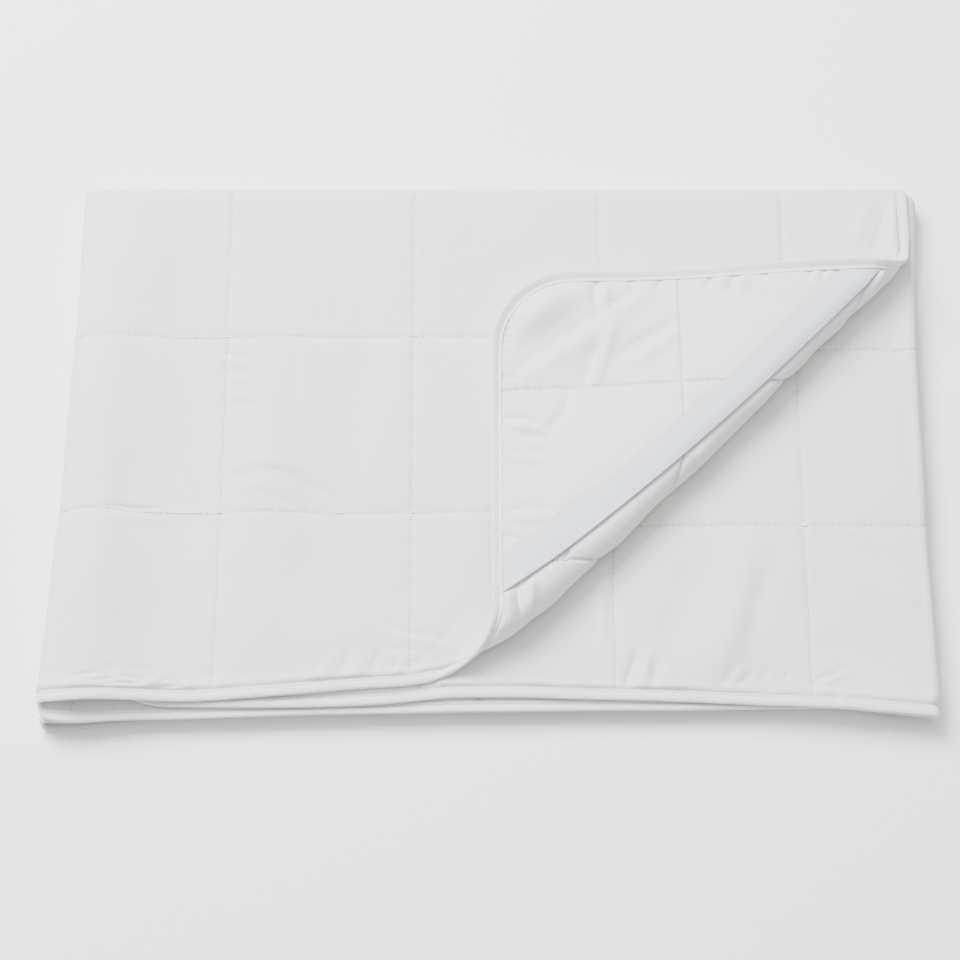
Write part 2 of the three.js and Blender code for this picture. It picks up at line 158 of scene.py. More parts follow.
# %% How the layers wander
LAYERS = ("top", "tucked", "inner", "inner_low", "tucked_low", "bottom")
FrontRow = namedtuple("FrontRow", ("x",) + LAYERS)
FRONT_EDGES = (
    FrontRow(-345, 1, 0, -7, -9.5, -10.5, -14),
    FrontRow(-315, 1, 0, -13, -11.5, -10, -12),
    FrontRow(-280, 3, 1, -9, -7.5, -7, -8),
    FrontRow(-230, 3, 0, -7.5, -5, -3, -3.5),
    FrontRow(-150, 9, 0, -4.5, -1, 0, 1),
    FrontRow(-100, 13.5, 1.5, -3.5, 0, 2, 4),
    FrontRow(-63, 15.5, 4.5, -3, 1, 3, 5),
    FrontRow(-45, 20, 7.5, -2.5, 1.5, 3.5, 5.5),
    FrontRow(-15, 22, 8, -2, 2, 4, 6),
    FrontRow(20, 14, 8, -2, 2, 4, 6),
    FrontRow(60, 5, 6.5, -1, 3, 5, 7),
    FrontRow(130, 5, 5, -1, 3, 5, 7),
    FrontRow(260, 5, -1, 1, 3, 4, 5),
    FrontRow(335, 5, -8, -7.5, -6, -4.5, -2),
)
MIDDLE_SLIDE = dict(zip(LAYERS, (0, -9, -8, -6, -4, 0)))
FRONT_FADE = 130
BACK_FADE = 100

SideRow = namedtuple("SideRow", "y left right")
SIDE_DRIFT = (
    SideRow(0, -11, -2),
    SideRow(50, -9, 0),
    SideRow(160, -3, -1),
    SideRow(250, -1, 0),
    SideRow(345, 1, 2),
    SideRow(420, 0, 9),
)
DRIFT_REACH = 130

Lift = namedtuple("Lift", "x y reach_x reach_y top tucked inner inner_low tucked_low bottom")
LIFTS = (
    Lift(-325, 0, 108, 240, 9.5, 3.5, 0, 0, 0, 0),
    Lift(-330, 0, 90, 200, 5.5, 5.5, 5.5, 5.5, 3, 0),
    Lift(-302, 210, 62, 230, 3.5, 0, 0, 0, 0, 0),
    Lift(-140, 60, 90, 110, 2, 0, 0, 0, 0, 0),
    Lift(-90, 250, 120, 130, 1.5, 0, 0, 0, 0, 0),
    Lift(90, 325, 80, 70, 4, 0, 0, 0, 0, 0),
    Lift(30, 250, 60, 90, 2.5, 0, 0, 0, 0, 0),
    Lift(160, 60, 110, 60, 1.5, 1.5, 0, 0, 0, 0),
    Lift(310, 410, 70, 70, 2, 0.5, 0, 0, 0, 0),
    Lift(-341, 0, 46, 150, -8.5, -2, 1.5, 0, 0, 0),
    Lift(300, 0, 120, 60, 3, 3, 0, 0, 0, 0),
)
print("rows for front edges, sides and lifts:", len(FRONT_EDGES), len(SIDE_DRIFT), len(LIFTS))

# %% Smooth steps and the tables between their rows
TABLE_ROUNDING = (-16, -11, -6, -2, 2, 6, 11, 16)


def smoothstep(value, start, end):
    share = np.clip((value - start) / (end - start), 0, 1)
    return share * share * (3 - 2 * share)


def bell(distance, reach):
    return np.where(np.abs(distance) < reach, (1 + np.cos(math.pi * distance / reach)) / 2, 0)


def read_table(rows, key, place, column):
    """One column of a table between its rows, with the bends at the rows rounded."""
    places = [getattr(row, key) for row in rows]
    values = [getattr(row, column) for row in rows]
    readings = [np.interp(place + step, places, values) for step in TABLE_ROUNDING]
    return sum(readings) / len(readings)


def between_layers(level, value_of):
    """A value that each layer has, read for levels between two layers."""
    depth = (TOP_LEVEL - level) / LAYER_PITCH
    upper = np.clip(np.floor(depth), 0, len(LAYERS) - 2).astype(int)
    share = np.clip(depth - upper, 0, 1)
    values = np.stack([value_of(layer) + np.zeros_like(level) for layer in LAYERS])
    each = np.arange(len(level))
    return values[upper, each] * (1 - share) + values[upper + 1, each] * share


print("the top layer's front edge in the middle:", round(read_table(FRONT_EDGES, "x", 0, "top"), 1), "mm")

# %% Fold in three, then in half
def fold_in_three(s):
    left = (s - LEFT_ARC_START) / LEFT_ARC_RADIUS
    right = (s - RIGHT_ARC_START) / RIGHT_ARC_RADIUS
    stretch = [s < LEFT_ARC_START, s < INNER_START, s < RIGHT_ARC_START, s < TUCKED_START]
    x = np.select(stretch, [
        FREE_EDGE_X - s,
        LEFT_FOLD_X - LEFT_ARC_RADIUS * np.sin(left),
        LEFT_FOLD_X + s - INNER_START,
        RIGHT_FOLD_X + RIGHT_ARC_RADIUS * np.sin(right),
    ], RIGHT_FOLD_X - (s - TUCKED_START))
    height = np.select(stretch, [
        TOP_LEVEL,
        INNER_LEVEL + LEFT_ARC_RADIUS * (1 + np.cos(left)),
        INNER_LEVEL,
        TUCKED_LEVEL - RIGHT_ARC_RADIUS * (1 + np.cos(right)),
    ], TUCKED_LEVEL)
    return x, height


def fold_in_half(t, height):
    angle = math.pi * (t - BACK_ARC_START) / (BACK_ARC_END - BACK_ARC_START)
    stretch = [t < BACK_ARC_START, t > BACK_ARC_END]
    y = np.select(stretch, [FRONT_EDGE_Y + t, FRONT_EDGE_Y + CLOTH_WIDTH - t],
                  BACK_FOLD_Y + height * np.sin(angle))
    level = np.select(stretch, [height, -height], height * np.cos(angle))
    return y, level


print("thickness of the six layers:", 2 * TOP_LEVEL + PAD_THICKNESS, "mm")

# %% Turn the corner back
def past_turn_line(s, t):
    """How far a place of the flat cloth lies past the line at which the corner turns back."""
    return ((TURN_LEG_FRONT - s) * TURN_LEG_RIGHT - t * TURN_LEG_FRONT) / TURN_SPAN


def turn_corner(x, y, past):
    """The turned corner: a half roll, then the flap, which lies back and sinks."""
    out_x = TURN_LEG_RIGHT / TURN_SPAN
    out_y = -TURN_LEG_FRONT / TURN_SPAN
    past = np.maximum(past, 0)
    angle = math.pi * np.minimum(past, ROLL_LENGTH) / ROLL_LENGTH
    beyond = np.maximum(past - ROLL_LENGTH, 0)
    out = ROLL_DEPTH * np.sin(angle) - beyond - past
    slide = TURN_SLIDE * smoothstep(past, 0, ROLL_LENGTH)
    sunk = smoothstep(beyond, 0, TURN_SINK_LENGTH) * (2 * ROLL_RISE - TURN_REST)
    rise = ROLL_RISE * (1 - np.cos(angle)) - sunk
    return x + out_x * out - out_y * slide, y + out_y * out + out_x * slide, rise


print("the flap is", round(past_turn_line(0, 0)), "mm deep")

# %% The folded place of a point of the cloth
def place(s, t):
    """The middle of the cloth at (s, t), folded, as rows of x, y, z in millimetres."""
    x, height = fold_in_three(s)
    y, level = fold_in_half(t, height)
    x, y, rise = turn_corner(x, y, past_turn_line(s, t))

    def forward_of(layer):
        edge = read_table(FRONT_EDGES, "x", x, layer) - FRONT_EDGE_Y
        share = 1 - smoothstep(y - FRONT_EDGE_Y, 0, FRONT_FADE)
        return edge * share + MIDDLE_SLIDE[layer] * (1 - share)

    forward = between_layers(level, forward_of)
    at_back = smoothstep(y, BACK_FOLD_Y - BACK_FADE, BACK_FOLD_Y)
    left_share = smoothstep(-x, -LEFT_FOLD_X - DRIFT_REACH, -LEFT_FOLD_X)
    right_share = smoothstep(x, RIGHT_FOLD_X - DRIFT_REACH, RIGHT_FOLD_X)
    under_top = 1 - smoothstep(height, TUCKED_LEVEL, TOP_LEVEL)
    lift = np.zeros_like(x)
    for row in LIFTS:
        amount = between_layers(level, lambda layer: getattr(row, layer))
        lift += amount * bell(x - row.x, row.reach_x) * bell(y - row.y, row.reach_y)
    drift = left_share * read_table(SIDE_DRIFT, "y", y, "left")
    drift += right_share * under_top * read_table(SIDE_DRIFT, "y", y, "right")
    return np.stack([
        x + drift,
        y + forward * (1 - at_back),
        MIDDLE_HEIGHT + level + rise + lift * (1 - at_back),
    ], axis=1)


two_corners = place(np.array([0.0, CLOTH_LENGTH]), np.array([0.0, CLOTH_WIDTH]))
print("two corners of the cloth lie at", two_corners.round(1).tolist(), "mm")

# %% Edge, curl and directions of the cloth
PROBE = 0.4
CURL_HEIGHT = 4.6
CURL_INSET = 6.8
CURL_FADE = 20
# Places round the turned corner: below zero on the front edge, above it on the free edge.
CURL_PLACES = (-330, -110, -55, 0, 55, 140, 240, 330)
CURL_SHARES = (0.6, 0.7, 0.9, 1.0, 0.9, 0.75, 0.95, 1.25)


def edge_inset(s, t):
    """How far inside the cloth's edge a place lies, with its rounded corners."""
    inside_s = np.minimum(s, CLOTH_LENGTH - s)
    inside_t = np.minimum(t, CLOTH_WIDTH - t)
    to_centre_s = np.maximum(CORNER_RADIUS - inside_s, 0)
    to_centre_t = np.maximum(CORNER_RADIUS - inside_t, 0)
    in_corner = CORNER_RADIUS - np.hypot(to_centre_s, to_centre_t)
    return np.where((to_centre_s > 0) & (to_centre_t > 0), in_corner, np.minimum(inside_s, inside_t))


def tape_curl(s, t):
    """How far the tape of the turned corner bends up: most at the tip and near the right side."""
    on_flap = smoothstep(past_turn_line(s, t), ROLL_LENGTH / 2, ROLL_LENGTH + CURL_FADE)
    share = np.interp(t - s, CURL_PLACES, CURL_SHARES) * on_flap
    return CURL_HEIGHT * share * np.clip(1 - edge_inset(s, t) / CURL_INSET, 0, 1)


def cloth_frame(s, t):
    """For each place: the point, the direction away from the backing, and those of s and t."""
    along = place(s + PROBE, t) - place(s - PROBE, t)
    across = place(s, t + PROBE) - place(s, t - PROBE)
    along /= np.linalg.norm(along, axis=1, keepdims=True)
    across /= np.linalg.norm(across, axis=1, keepdims=True)
    face = np.cross(across, along)
    face /= np.linalg.norm(face, axis=1, keepdims=True)
    return place(s, t) - face * tape_curl(s, t)[:, None], face, along, across


def to_metres(points):
    """From the fold's own millimetres to the frame's metres, kept on or above the floor."""
    moved = points - np.array([STACK_MIDDLE[0], STACK_MIDDLE[1], 0])
    moved[:, 2] = np.maximum(moved[:, 2], 0)
    return moved * MM


def cloth_points(s, t, height):
    middle, face, _, _ = cloth_frame(s, t)
    return to_metres(middle + face * height[:, None])


cloth_middle = cloth_points(np.array([CLOTH_LENGTH / 2]), np.array([CLOTH_WIDTH / 2]), np.zeros(1))
print("the middle of the cloth lies at", cloth_middle[0].round(3).tolist(), "m")

# %% [markdown]
# ## Uneven cloth
#
# Soft unevenness comes from a smooth noise with a fixed seed. The creases that the photograph
# shows are listed instead: each row is a line on the folded stack, seen from above, with
# the width of the trough or ridge and its height. A negative height is a trough.

# %% Noise
NOISE_SIZE = 256


def soft_noise(u, v, seed):
    """Smooth noise from -1 to 1, one lump for each whole step of u and v."""
    table = np.random.default_rng(seed).uniform(-1, 1, (NOISE_SIZE, NOISE_SIZE))
    u0 = np.floor(u).astype(int)
    v0 = np.floor(v).astype(int)
    share_u = smoothstep(u - u0, 0, 1)
    share_v = smoothstep(v - v0, 0, 1)
    wrap = NOISE_SIZE
    low = table[u0 % wrap, v0 % wrap] * (1 - share_u) + table[(u0 + 1) % wrap, v0 % wrap] * share_u
    high = table[u0 % wrap, (v0 + 1) % wrap] * (1 - share_u)
    high += table[(u0 + 1) % wrap, (v0 + 1) % wrap] * share_u
    return low * (1 - share_v) + high * share_v


def noise_along(value, length, row, seed):
    """The noise on one row of lumps, for what varies in one direction alone."""
    return soft_noise(value / length, np.full_like(value, row), seed)


print("noise at five places:", noise_along(np.arange(5.0), 2, 0.5, 1).round(2).tolist())

# %% Creases of the flap
Crease = namedtuple("Crease", "x0 y0 x1 y1 width height")
FLAP_CREASES = (
    Crease(14, 271, 82, 321, 9, -1.6),
    Crease(8, 279, 70, 327, 24, -1.2),
    Crease(82, 321, 113, 341, 9, -1.3),
    Crease(27, 268, 92, 312, 20, 1.7),
    Crease(16, 309, 60, 342, 34, 3.4),
    Crease(95, 322, 120, 334, 14, 1.0),
    Crease(3, 318, 13, 316, 3, -1.0),
    Crease(3, 311, 13, 309, 3, -1.1),
    Crease(3, 304, 14, 302, 3, -1.1),
    Crease(3, 298, 13, 296, 3, -1.0),
    Crease(3, 291, 12, 289, 3, -0.8),
    Crease(80, 352, 81, 323, 5, -2.0),
    Crease(87, 345, 88, 329, 6, 1.2),
    Crease(69, 258, 80, 291, 8, -2.0),
    Crease(79, 258, 94, 310, 8, 1.6),
    Crease(137, 307, 97, 282, 9, -1.7),
    Crease(140, 295, 106, 272, 10, 0.8),
    Crease(5, 269, 16, 264, 4, -1.2),
    Crease(172, 356, 169, 341, 4, -1.0),
    Crease(181, 349, 178, 340, 6, 0.8),
    Crease(193, 356, 186, 335, 5, -1.4),
    Crease(200, 349, 195, 336, 7, 1.0),
    Crease(189, 341, 229, 316, 9, -0.8),
    Crease(216, 356, 211, 340, 4, -1.0),
    Crease(251, 357, 248, 339, 4, -1.1),
    Crease(256, 349, 254, 341, 5, 0.7),
    Crease(262, 357, 259, 341, 4, -1.0),
    Crease(271, 357, 271, 341, 4, -0.9),
    Crease(132, 356, 129, 341, 4, -0.7),
    Crease(107, 356, 110, 342, 4, -0.8),
    Crease(26, 262, 27, 249, 4, -0.6),
    Crease(37, 262, 37, 249, 4, -0.6),
    Crease(62, 261, 63, 248, 4, -0.6),
    Crease(6, 231, 20, 229, 4, -1.3),
    Crease(20, 229, 35, 221, 5, -1.2),
    Crease(8, 225, 36, 216, 6, 0.9),
    Crease(58, 257, 55, 235, 9, -1.2),
    Crease(55, 235, 38, 213, 9, -1.4),
    Crease(17, 214, 40, 211, 9, -1.2),
    Crease(6, 202, 21, 196, 4, -1.2),
    Crease(21, 196, 37, 199, 4, -0.9),
    Crease(7, 196, 35, 190, 6, 0.9),
    Crease(6, 146, 22, 151, 4, -1.1),
    Crease(22, 151, 42, 147, 4, -1.1),
    Crease(7, 141, 42, 140, 6, 0.8),
    Crease(4, 128, 17, 124, 4, -1.0),
    Crease(1, 89, -1, 60, 4, -1.2),
    Crease(8, 90, 8, 62, 6, 1.3),
    Crease(15, 91, 16, 66, 4, -1.6),
    Crease(21, 96, 20, 74, 4, -1.2),
    Crease(27, 97, 24, 74, 7, 1.2),
    Crease(52, 121, 52, 104, 4, -1.2),
)
print("creases of the flap:", len(FLAP_CREASES))

# %% Creases of the top panel
TOP_CREASES = (
    Crease(-306, 330, -311, 195, 38, 3.2),
    Crease(-311, 195, -309, 50, 38, 3.8),
    Crease(-244, 300, -244, 60, 60, -2.4),
    Crease(-284, 205, -288, 165, 20, -1.2),
    Crease(-178, 300, -182, 60, 54, 2.8),
    Crease(-292, 408, -300, 335, 54, 2.8),
    Crease(-241, 405, -245, 322, 44, -1.8),
    Crease(-108, 300, -116, 180, 56, -1.8),
    Crease(-128, 140, -128, 70, 56, -1.8),
    Crease(-12, 170, -50, 44, 46, 2.4),
    Crease(-309, 158, -245, 157, 4, -1.0),
    Crease(-302, 149, -250, 149, 9, 0.5),
    Crease(-215, 191, -186, 197, 6, 0.7),
    Crease(-186, 197, -154, 192, 7, 0.8),
    Crease(-154, 192, -126, 175, 7, 0.7),
    Crease(-207, 183, -180, 189, 5, -0.7),
    Crease(-180, 189, -156, 184, 6, -0.8),
    Crease(-156, 184, -135, 169, 6, -0.8),
    Crease(-200, 177, -178, 173, 9, 0.6),
    Crease(-184, 172, -160, 160, 6, -0.9),
    Crease(-160, 304, -160, 232, 5, -0.7),
    Crease(-153, 300, -153, 236, 7, 0.5),
    Crease(-217, 292, -192, 284, 5, -0.7),
    Crease(-214, 285, -195, 278, 5, 0.6),
    Crease(-218, 277, -196, 270, 5, -0.7),
    Crease(-214, 268, -192, 263, 5, 0.6),
    Crease(-215, 259, -186, 254, 5, -0.7),
    Crease(-212, 253, -190, 251, 4, 0.5),
    Crease(-217, 246, -183, 248, 5, -0.7),
    Crease(-128, 338, -130, 312, 4, -0.5),
    Crease(-118, 340, -119, 314, 4, 0.5),
    Crease(-108, 336, -109, 314, 4, -0.5),
    Crease(-322, 19, -300, 23, 3, -1.0),
    Crease(-311, 15, -290, 18, 3, -0.9),
    Crease(-297, 14, -268, 16, 3, -1.1),
    Crease(-300, 29, -284, 25, 4, -0.7),
    Crease(-283, 21, -264, 18, 3, -0.9),
    Crease(-277, 28, -262, 27, 3, -0.6),
    Crease(-268, 14, -252, 22, 4, 0.9),
    Crease(-260, 13, -240, 15, 3, -0.9),
    Crease(-248, 20, -237, 13, 3, -0.8),
    Crease(-86, 62, -67, 57, 3, -0.7),
    Crease(-67, 57, -36, 51, 3, -0.9),
    Crease(-80, 55, -40, 46, 8, 0.6),
    Crease(-86, 44, -68, 44, 4, -0.6),
    Crease(-134, 41, -138, 22, 5, -0.9),
    Crease(-125, 39, -128, 24, 9, 0.7),
    Crease(-112, 45, -118, 23, 6, -1.1),
    Crease(-102, 41, -106, 24, 9, 0.7),
    Crease(-90, 45, -95, 23, 5, -0.9),
    Crease(-75, 42, -79, 24, 4, -0.6),
    Crease(-18, 84, -48, 44, 6, -0.5),
    Crease(-48, 44, -72, 27, 6, -0.5),
    Crease(289, 382, 303, 422, 8, 1.0),
    Crease(305, 377, 317, 420, 7, -1.0),
    Crease(318, 381, 326, 413, 6, 0.8),
)
print("creases of the top panel:", len(TOP_CREASES))

# %% Creases of the tucked panel
TUCKED_CREASES = (
    Crease(198, 142, 188, 86, 36, 2.6),
    Crease(188, 86, 164, 26, 34, 2.8),
    Crease(155, 118, 147, 82, 34, -1.6),
    Crease(147, 82, 126, 40, 30, -1.6),
    Crease(206, 104, 190, 48, 16, -1.4),
    Crease(228, 118, 212, 50, 30, 0.9),
    Crease(107, 46, 98, 17, 6, -1.5),
    Crease(116, 43, 110, 17, 6, 1.2),
    Crease(122, 38, 120, 17, 5, -1.3),
    Crease(128, 33, 136, 15, 6, 1.1),
    Crease(181, 34, 170, 15, 5, -0.9),
    Crease(187, 30, 178, 17, 4, 0.7),
    Crease(194, 28, 186, 18, 4, -0.8),
    Crease(207, 31, 201, 20, 4, -0.7),
    Crease(223, 29, 215, 20, 4, -0.6),
    Crease(239, 20, 265, 31, 4, -0.7),
    Crease(245, 17, 268, 26, 4, 0.6),
    Crease(326, 150, 330, 25, 12, -0.9),
    Crease(318, 330, 326, 170, 12, -0.7),
    Crease(82, 109, 80, 45, 8, 0.7),
    Crease(67, 113, 78, 101, 6, -0.8),
)
print("creases of the tucked panel:", len(TUCKED_CREASES))

# %% Height of the creases
CREASES = {"flap": FLAP_CREASES, "top": TOP_CREASES, "bared": TUCKED_CREASES}
CREASE_STRENGTHS = {"flap": 3.1, "top": 1.7, "bared": 1.7}
CREASE_END = 0.35
WIDE_CREASE = 18
HEM_OVERLAP = 2
HEM_FADE = 16


def along_crease(row, x, y):
    """How far places lie from a crease, and their share of the way along it."""
    run_x, run_y = row.x1 - row.x0, row.y1 - row.y0
    share = ((x - row.x0) * run_x + (y - row.y0) * run_y) / (run_x ** 2 + run_y ** 2)
    share = np.clip(share, 0, 1)
    away = np.hypot(x - row.x0 - run_x * share, y - row.y0 - run_y * share)
    return away, share


def crease_height(rows, x, y, inset):
    """The height of all creases at each place. The wide ones fade out towards the tape's hem."""
    total = np.zeros_like(x)
    inside_hem = smoothstep(inset, TAPE_WIDTH - HEM_OVERLAP, TAPE_WIDTH + HEM_FADE)
    for row in rows:
        away, share = along_crease(row, x, y)
        strength = CREASE_END + (1 - CREASE_END) * np.sin(math.pi * share)
        height = row.height * strength * np.exp(-(away / (row.width / 2)) ** 2)
        total += height * inside_hem if row.width >= WIDE_CREASE else height
    return total


heights = [row.height * CREASE_STRENGTHS[name] for name, rows in CREASES.items() for row in rows]
print("creases from", round(min(heights), 1), "to", round(max(heights), 1), "mm high")

# %% [markdown]
# ## The height of the quilted surface
#
# The stitching pulls the two cloths together, so the pad is thin on every quilt line and swells
# quickly beside it. Each line also gathers the cloth a little, which shows as short puckers
# across it, and so does the seam of the binding.

# %% Quilt sizes
lines_along = np.arange(FIRST_LINE_ALONG, CLOTH_LENGTH, QUILT_PITCH_ALONG)
lines_across = np.arange(FIRST_LINE_ACROSS, CLOTH_WIDTH, QUILT_PITCH_ACROSS)
TAPE_SEAM_INSET = 7.6
TAPE_SEWN_THICKNESS = 0.8

# The valley of a seam, and the needle line pinched into it. The backing is drawn in deeper.
VALLEY_WIDTH = 2.4
PINCH_WIDTH = 1.1
PINCH_DEPTHS = {FACE: 0.3, BACKING: 0.85}
VALLEY_SHARES = {FACE: 0.5, BACKING: 0.72}
LEAST_THICKNESS = 0.3
NOISE_SEEDS = {FACE: 3, BACKING: 23}

# The valley beside the tape, and the low bulge of the face beyond it.
HEM_GROOVE_INSET = 9.1
HEM_VALLEY_WIDTH = 0.8
HEM_VALLEY_SHARE = 0.78
HEM_BULGE = 0.7
HEM_BULGE_INSET = 3.5
HEM_BULGE_WIDTH = 3

# The filling of a square, up to its middle, with broad and small lumps.
PUFF_RISE = 75
PUFF_FULLNESS = 0.6
LUMP_SIZES = (58, 24)
LUMP_HEIGHTS = (0.85, 0.3)

# Puckers across the seams, and the deeper notches beside the tape.
PUCKER_LENGTH = 7
PUCKER_START = 1.5
PUCKER_REACH = 10
PUCKER_HEIGHT = 0.6
PUCKER_ROWS = 5.37
HEM_PUCKERS = 1.5
HEM_FREE = 3
NOTCH_LENGTH = 15
NOTCH_SHARPNESS = 0.2
NOTCH_REACH = 6
NOTCH_ROW = 0.3
NOTCH_DEPTHS = {FACE: 0.45, BACKING: 1.1}
print("quilt lines:", len(lines_along), "across the length and", len(lines_across), "along it")

# %% Quilt height
def by_short_edge(s, t):
    """Whether the nearest edge is one of the two short ones."""
    return np.minimum(s, CLOTH_LENGTH - s) < np.minimum(t, CLOTH_WIDTH - t)


def nearest_line(lines, value):
    distance = np.abs(value[:, None] - lines[None, :])
    return distance.min(axis=1), distance.argmin(axis=1)


def rise_from_seam(distance, width, share):
    narrow = 1 - np.exp(-distance / width)
    wide = np.sin(math.pi / 2 * np.minimum(1, distance / PUFF_RISE)) ** PUFF_FULLNESS
    return share * narrow + (1 - share) * wide


def pucker(distance, along, line, seed):
    """Short folds across a seam, which fade away from it. Each seam has its own row of them."""
    wave = soft_noise(along / PUCKER_LENGTH, line * PUCKER_ROWS, seed)
    fade = np.exp(-distance / PUCKER_REACH) * (1 - np.exp(-distance / PUCKER_START))
    return PUCKER_HEIGHT * wave * fade


def notches(distance, along, seed, depth):
    """Narrow tucks beside the tape, at uneven distances."""
    wave = noise_along(along, NOTCH_LENGTH, NOTCH_ROW, seed)
    return -depth * np.exp(-(wave / NOTCH_SHARPNESS) ** 2) * np.exp(-(distance / NOTCH_REACH) ** 2)


def surface_height(s, t, side):
    """The height of one side above the middle of the pad."""
    seed = NOISE_SEEDS[side]
    from_along, line_along = nearest_line(lines_along, s)
    from_across, line_across = nearest_line(lines_across, t)
    inset = edge_inset(s, t)
    from_edge = np.abs(inset - TAPE_SEAM_INSET)
    full = rise_from_seam(from_along, VALLEY_WIDTH, VALLEY_SHARES[side])
    full *= rise_from_seam(from_across, VALLEY_WIDTH, VALLEY_SHARES[side])
    from_hem = np.maximum(inset - HEM_GROOVE_INSET, 0)
    full *= rise_from_seam(from_hem, HEM_VALLEY_WIDTH, HEM_VALLEY_SHARE)
    sewn = np.where(inset > HEM_GROOVE_INSET, SEWN_THICKNESS, TAPE_SEWN_THICKNESS)
    height = (sewn + (PAD_THICKNESS - SEWN_THICKNESS) * full) / 2
    lumps = sum(
        size * soft_noise(s / length, t / length, seed + step)
        for step, (length, size) in enumerate(zip(LUMP_SIZES, LUMP_HEIGHTS))
    )
    from_bulge = (inset - TAPE_WIDTH - HEM_BULGE_INSET) / HEM_BULGE_WIDTH
    height += lumps * full + HEM_BULGE * np.exp(-from_bulge ** 2) * (side == FACE)
    pinch = np.exp(-(from_along / PINCH_WIDTH) ** 2) + np.exp(-(from_across / PINCH_WIDTH) ** 2)
    height -= PINCH_DEPTHS[side] * pinch * (inset > TAPE_SEAM_INSET)
    height += pucker(from_along, t, line_along, seed + 11)
    height += pucker(from_across, s, line_across, seed + 12)
    beyond_tape = smoothstep(inset, TAPE_WIDTH, TAPE_WIDTH + HEM_FREE)
    round_edge = np.where(by_short_edge(s, t), t, s)
    height += pucker(from_edge, round_edge, 0 * s, seed + 13) * HEM_PUCKERS * beyond_tape
    height += notches(from_edge, round_edge, seed + 14, NOTCH_DEPTHS[side]) * beyond_tape
    return height


half_square = np.array([0, QUILT_PITCH_ALONG / 2])
probe_t = np.full(2, FIRST_LINE_ACROSS + QUILT_PITCH_ACROSS / 2)
in_square = surface_height(FIRST_LINE_ALONG + half_square, probe_t, FACE)
print("height of the face on a seam and in a square:", in_square.round(2).tolist(), "mm")

# %% [markdown]
# ## The pad's mesh
#
# A pad of nearly two square metres can't have a millimetre mesh everywhere. The cloth is cut into
# blocks, and each block gets its own step: fine where a seam, a crease or a fold shows, coarse
# where the pad lies on itself. Where a coarse cell meets a fine one, its polygon simply takes
# the extra points, so the mesh stays closed.

# %% Grid lines of the pad
PAD_EDGE_INSET = 3
HEM_STOP = 9.6
BLOCK_CELLS = 8
HEM_BLOCKS = 1
END_BLOCKS = 7
SQUARE_BLOCKS = 10
SEAM_CLOSENESS = 0.65


def block_lines(ends, blocks):
    """Lines between seams, each stretch cut into whole blocks of cells, closer by the seams."""
    lines = [[ends[0]]]
    for start, end, count in zip(ends[:-1], ends[1:], blocks):
        cells = count * BLOCK_CELLS
        share = np.arange(1, cells + 1) / cells
        share = share - SEAM_CLOSENESS * np.sin(2 * math.pi * share) / (2 * math.pi)
        lines.append(start + (end - start) * share)
    return np.concatenate(lines)


def stops(lines, length):
    start = [PAD_EDGE_INSET, HEM_STOP]
    return start + list(lines) + [length - place for place in start[::-1]]


squares_along = [SQUARE_BLOCKS] * (len(lines_along) - 1)
squares_across = [SQUARE_BLOCKS] * (len(lines_across) + 1)
blocks_along = [HEM_BLOCKS, END_BLOCKS, *squares_along, END_BLOCKS, HEM_BLOCKS]
grid_s = block_lines(stops(lines_along, CLOTH_LENGTH), blocks_along)
grid_t = block_lines(stops(lines_across, CLOTH_WIDTH), [HEM_BLOCKS, *squares_across, HEM_BLOCKS])


def round_corners(s, t):
    """Bends the square corners of the grid into quarter circles."""
    radius = CORNER_RADIUS - PAD_EDGE_INSET
    u = np.maximum(np.maximum(CORNER_RADIUS - s, s - CLOTH_LENGTH + CORNER_RADIUS), 0) / radius
    v = np.maximum(np.maximum(CORNER_RADIUS - t, t - CLOTH_WIDTH + CORNER_RADIUS), 0) / radius
    moved_u = u * np.sqrt(1 - v ** 2 / 2) * radius
    moved_v = v * np.sqrt(1 - u ** 2 / 2) * radius
    inside_s = np.clip(s, CORNER_RADIUS, CLOTH_LENGTH - CORNER_RADIUS)
    inside_t = np.clip(t, CORNER_RADIUS, CLOTH_WIDTH - CORNER_RADIUS)
    return inside_s + np.sign(s - inside_s) * moved_u, inside_t + np.sign(t - inside_t) * moved_v


closest = round(float(np.diff(grid_s).min()), 2)
print("grid:", len(grid_s), "by", len(grid_t), "lines, the closest", closest, "mm apart")

# %% Where creases show
UNDER_FLAP_MARGIN = 66
BARED_MARGIN = 25
FRONT_STRIP = 40
RIGHT_STRIP = 22
TUCKED_ARC_SHOWN = 4


def where_shown(s, t, side, plan):
    """Masks of what shows: the flap, the top panel, the bared tucked panel and its margin."""
    past = past_turn_line(s, t)
    near_half = t < BACK_ARC_END
    flap = (side == BACKING) & (past > ROLL_LENGTH / 2)
    top = (side == FACE) & near_half & (s < INNER_START) & (past < ROLL_LENGTH / 2)
    tucked = (side == FACE) & near_half & (s > TUCKED_START - TUCKED_ARC_SHOWN)
    mirror_s = s + 2 * past * TURN_LEG_RIGHT / TURN_SPAN
    mirror_t = t + 2 * past * TURN_LEG_FRONT / TURN_SPAN
    under_flap = (past < 0) & (np.minimum(mirror_s, mirror_t) > UNDER_FLAP_MARGIN)
    bared = past_turn_line(FREE_EDGE_X - plan[:, 0], plan[:, 1] - FRONT_EDGE_Y) > -BARED_MARGIN
    edge_strip = (plan[:, 1] < FRONT_STRIP) | (plan[:, 0] > RIGHT_FOLD_X - RIGHT_STRIP)
    return {
        "flap": flap,
        "top": top & ~under_flap,
        "bared": tucked & bared,
        "margin": tucked & edge_strip & ~bared,
    }


def pairs(first, second):
    """Every value of the first with every value of the second, as two flat arrays."""
    return (part.ravel() for part in np.meshgrid(first, second, indexing="ij"))


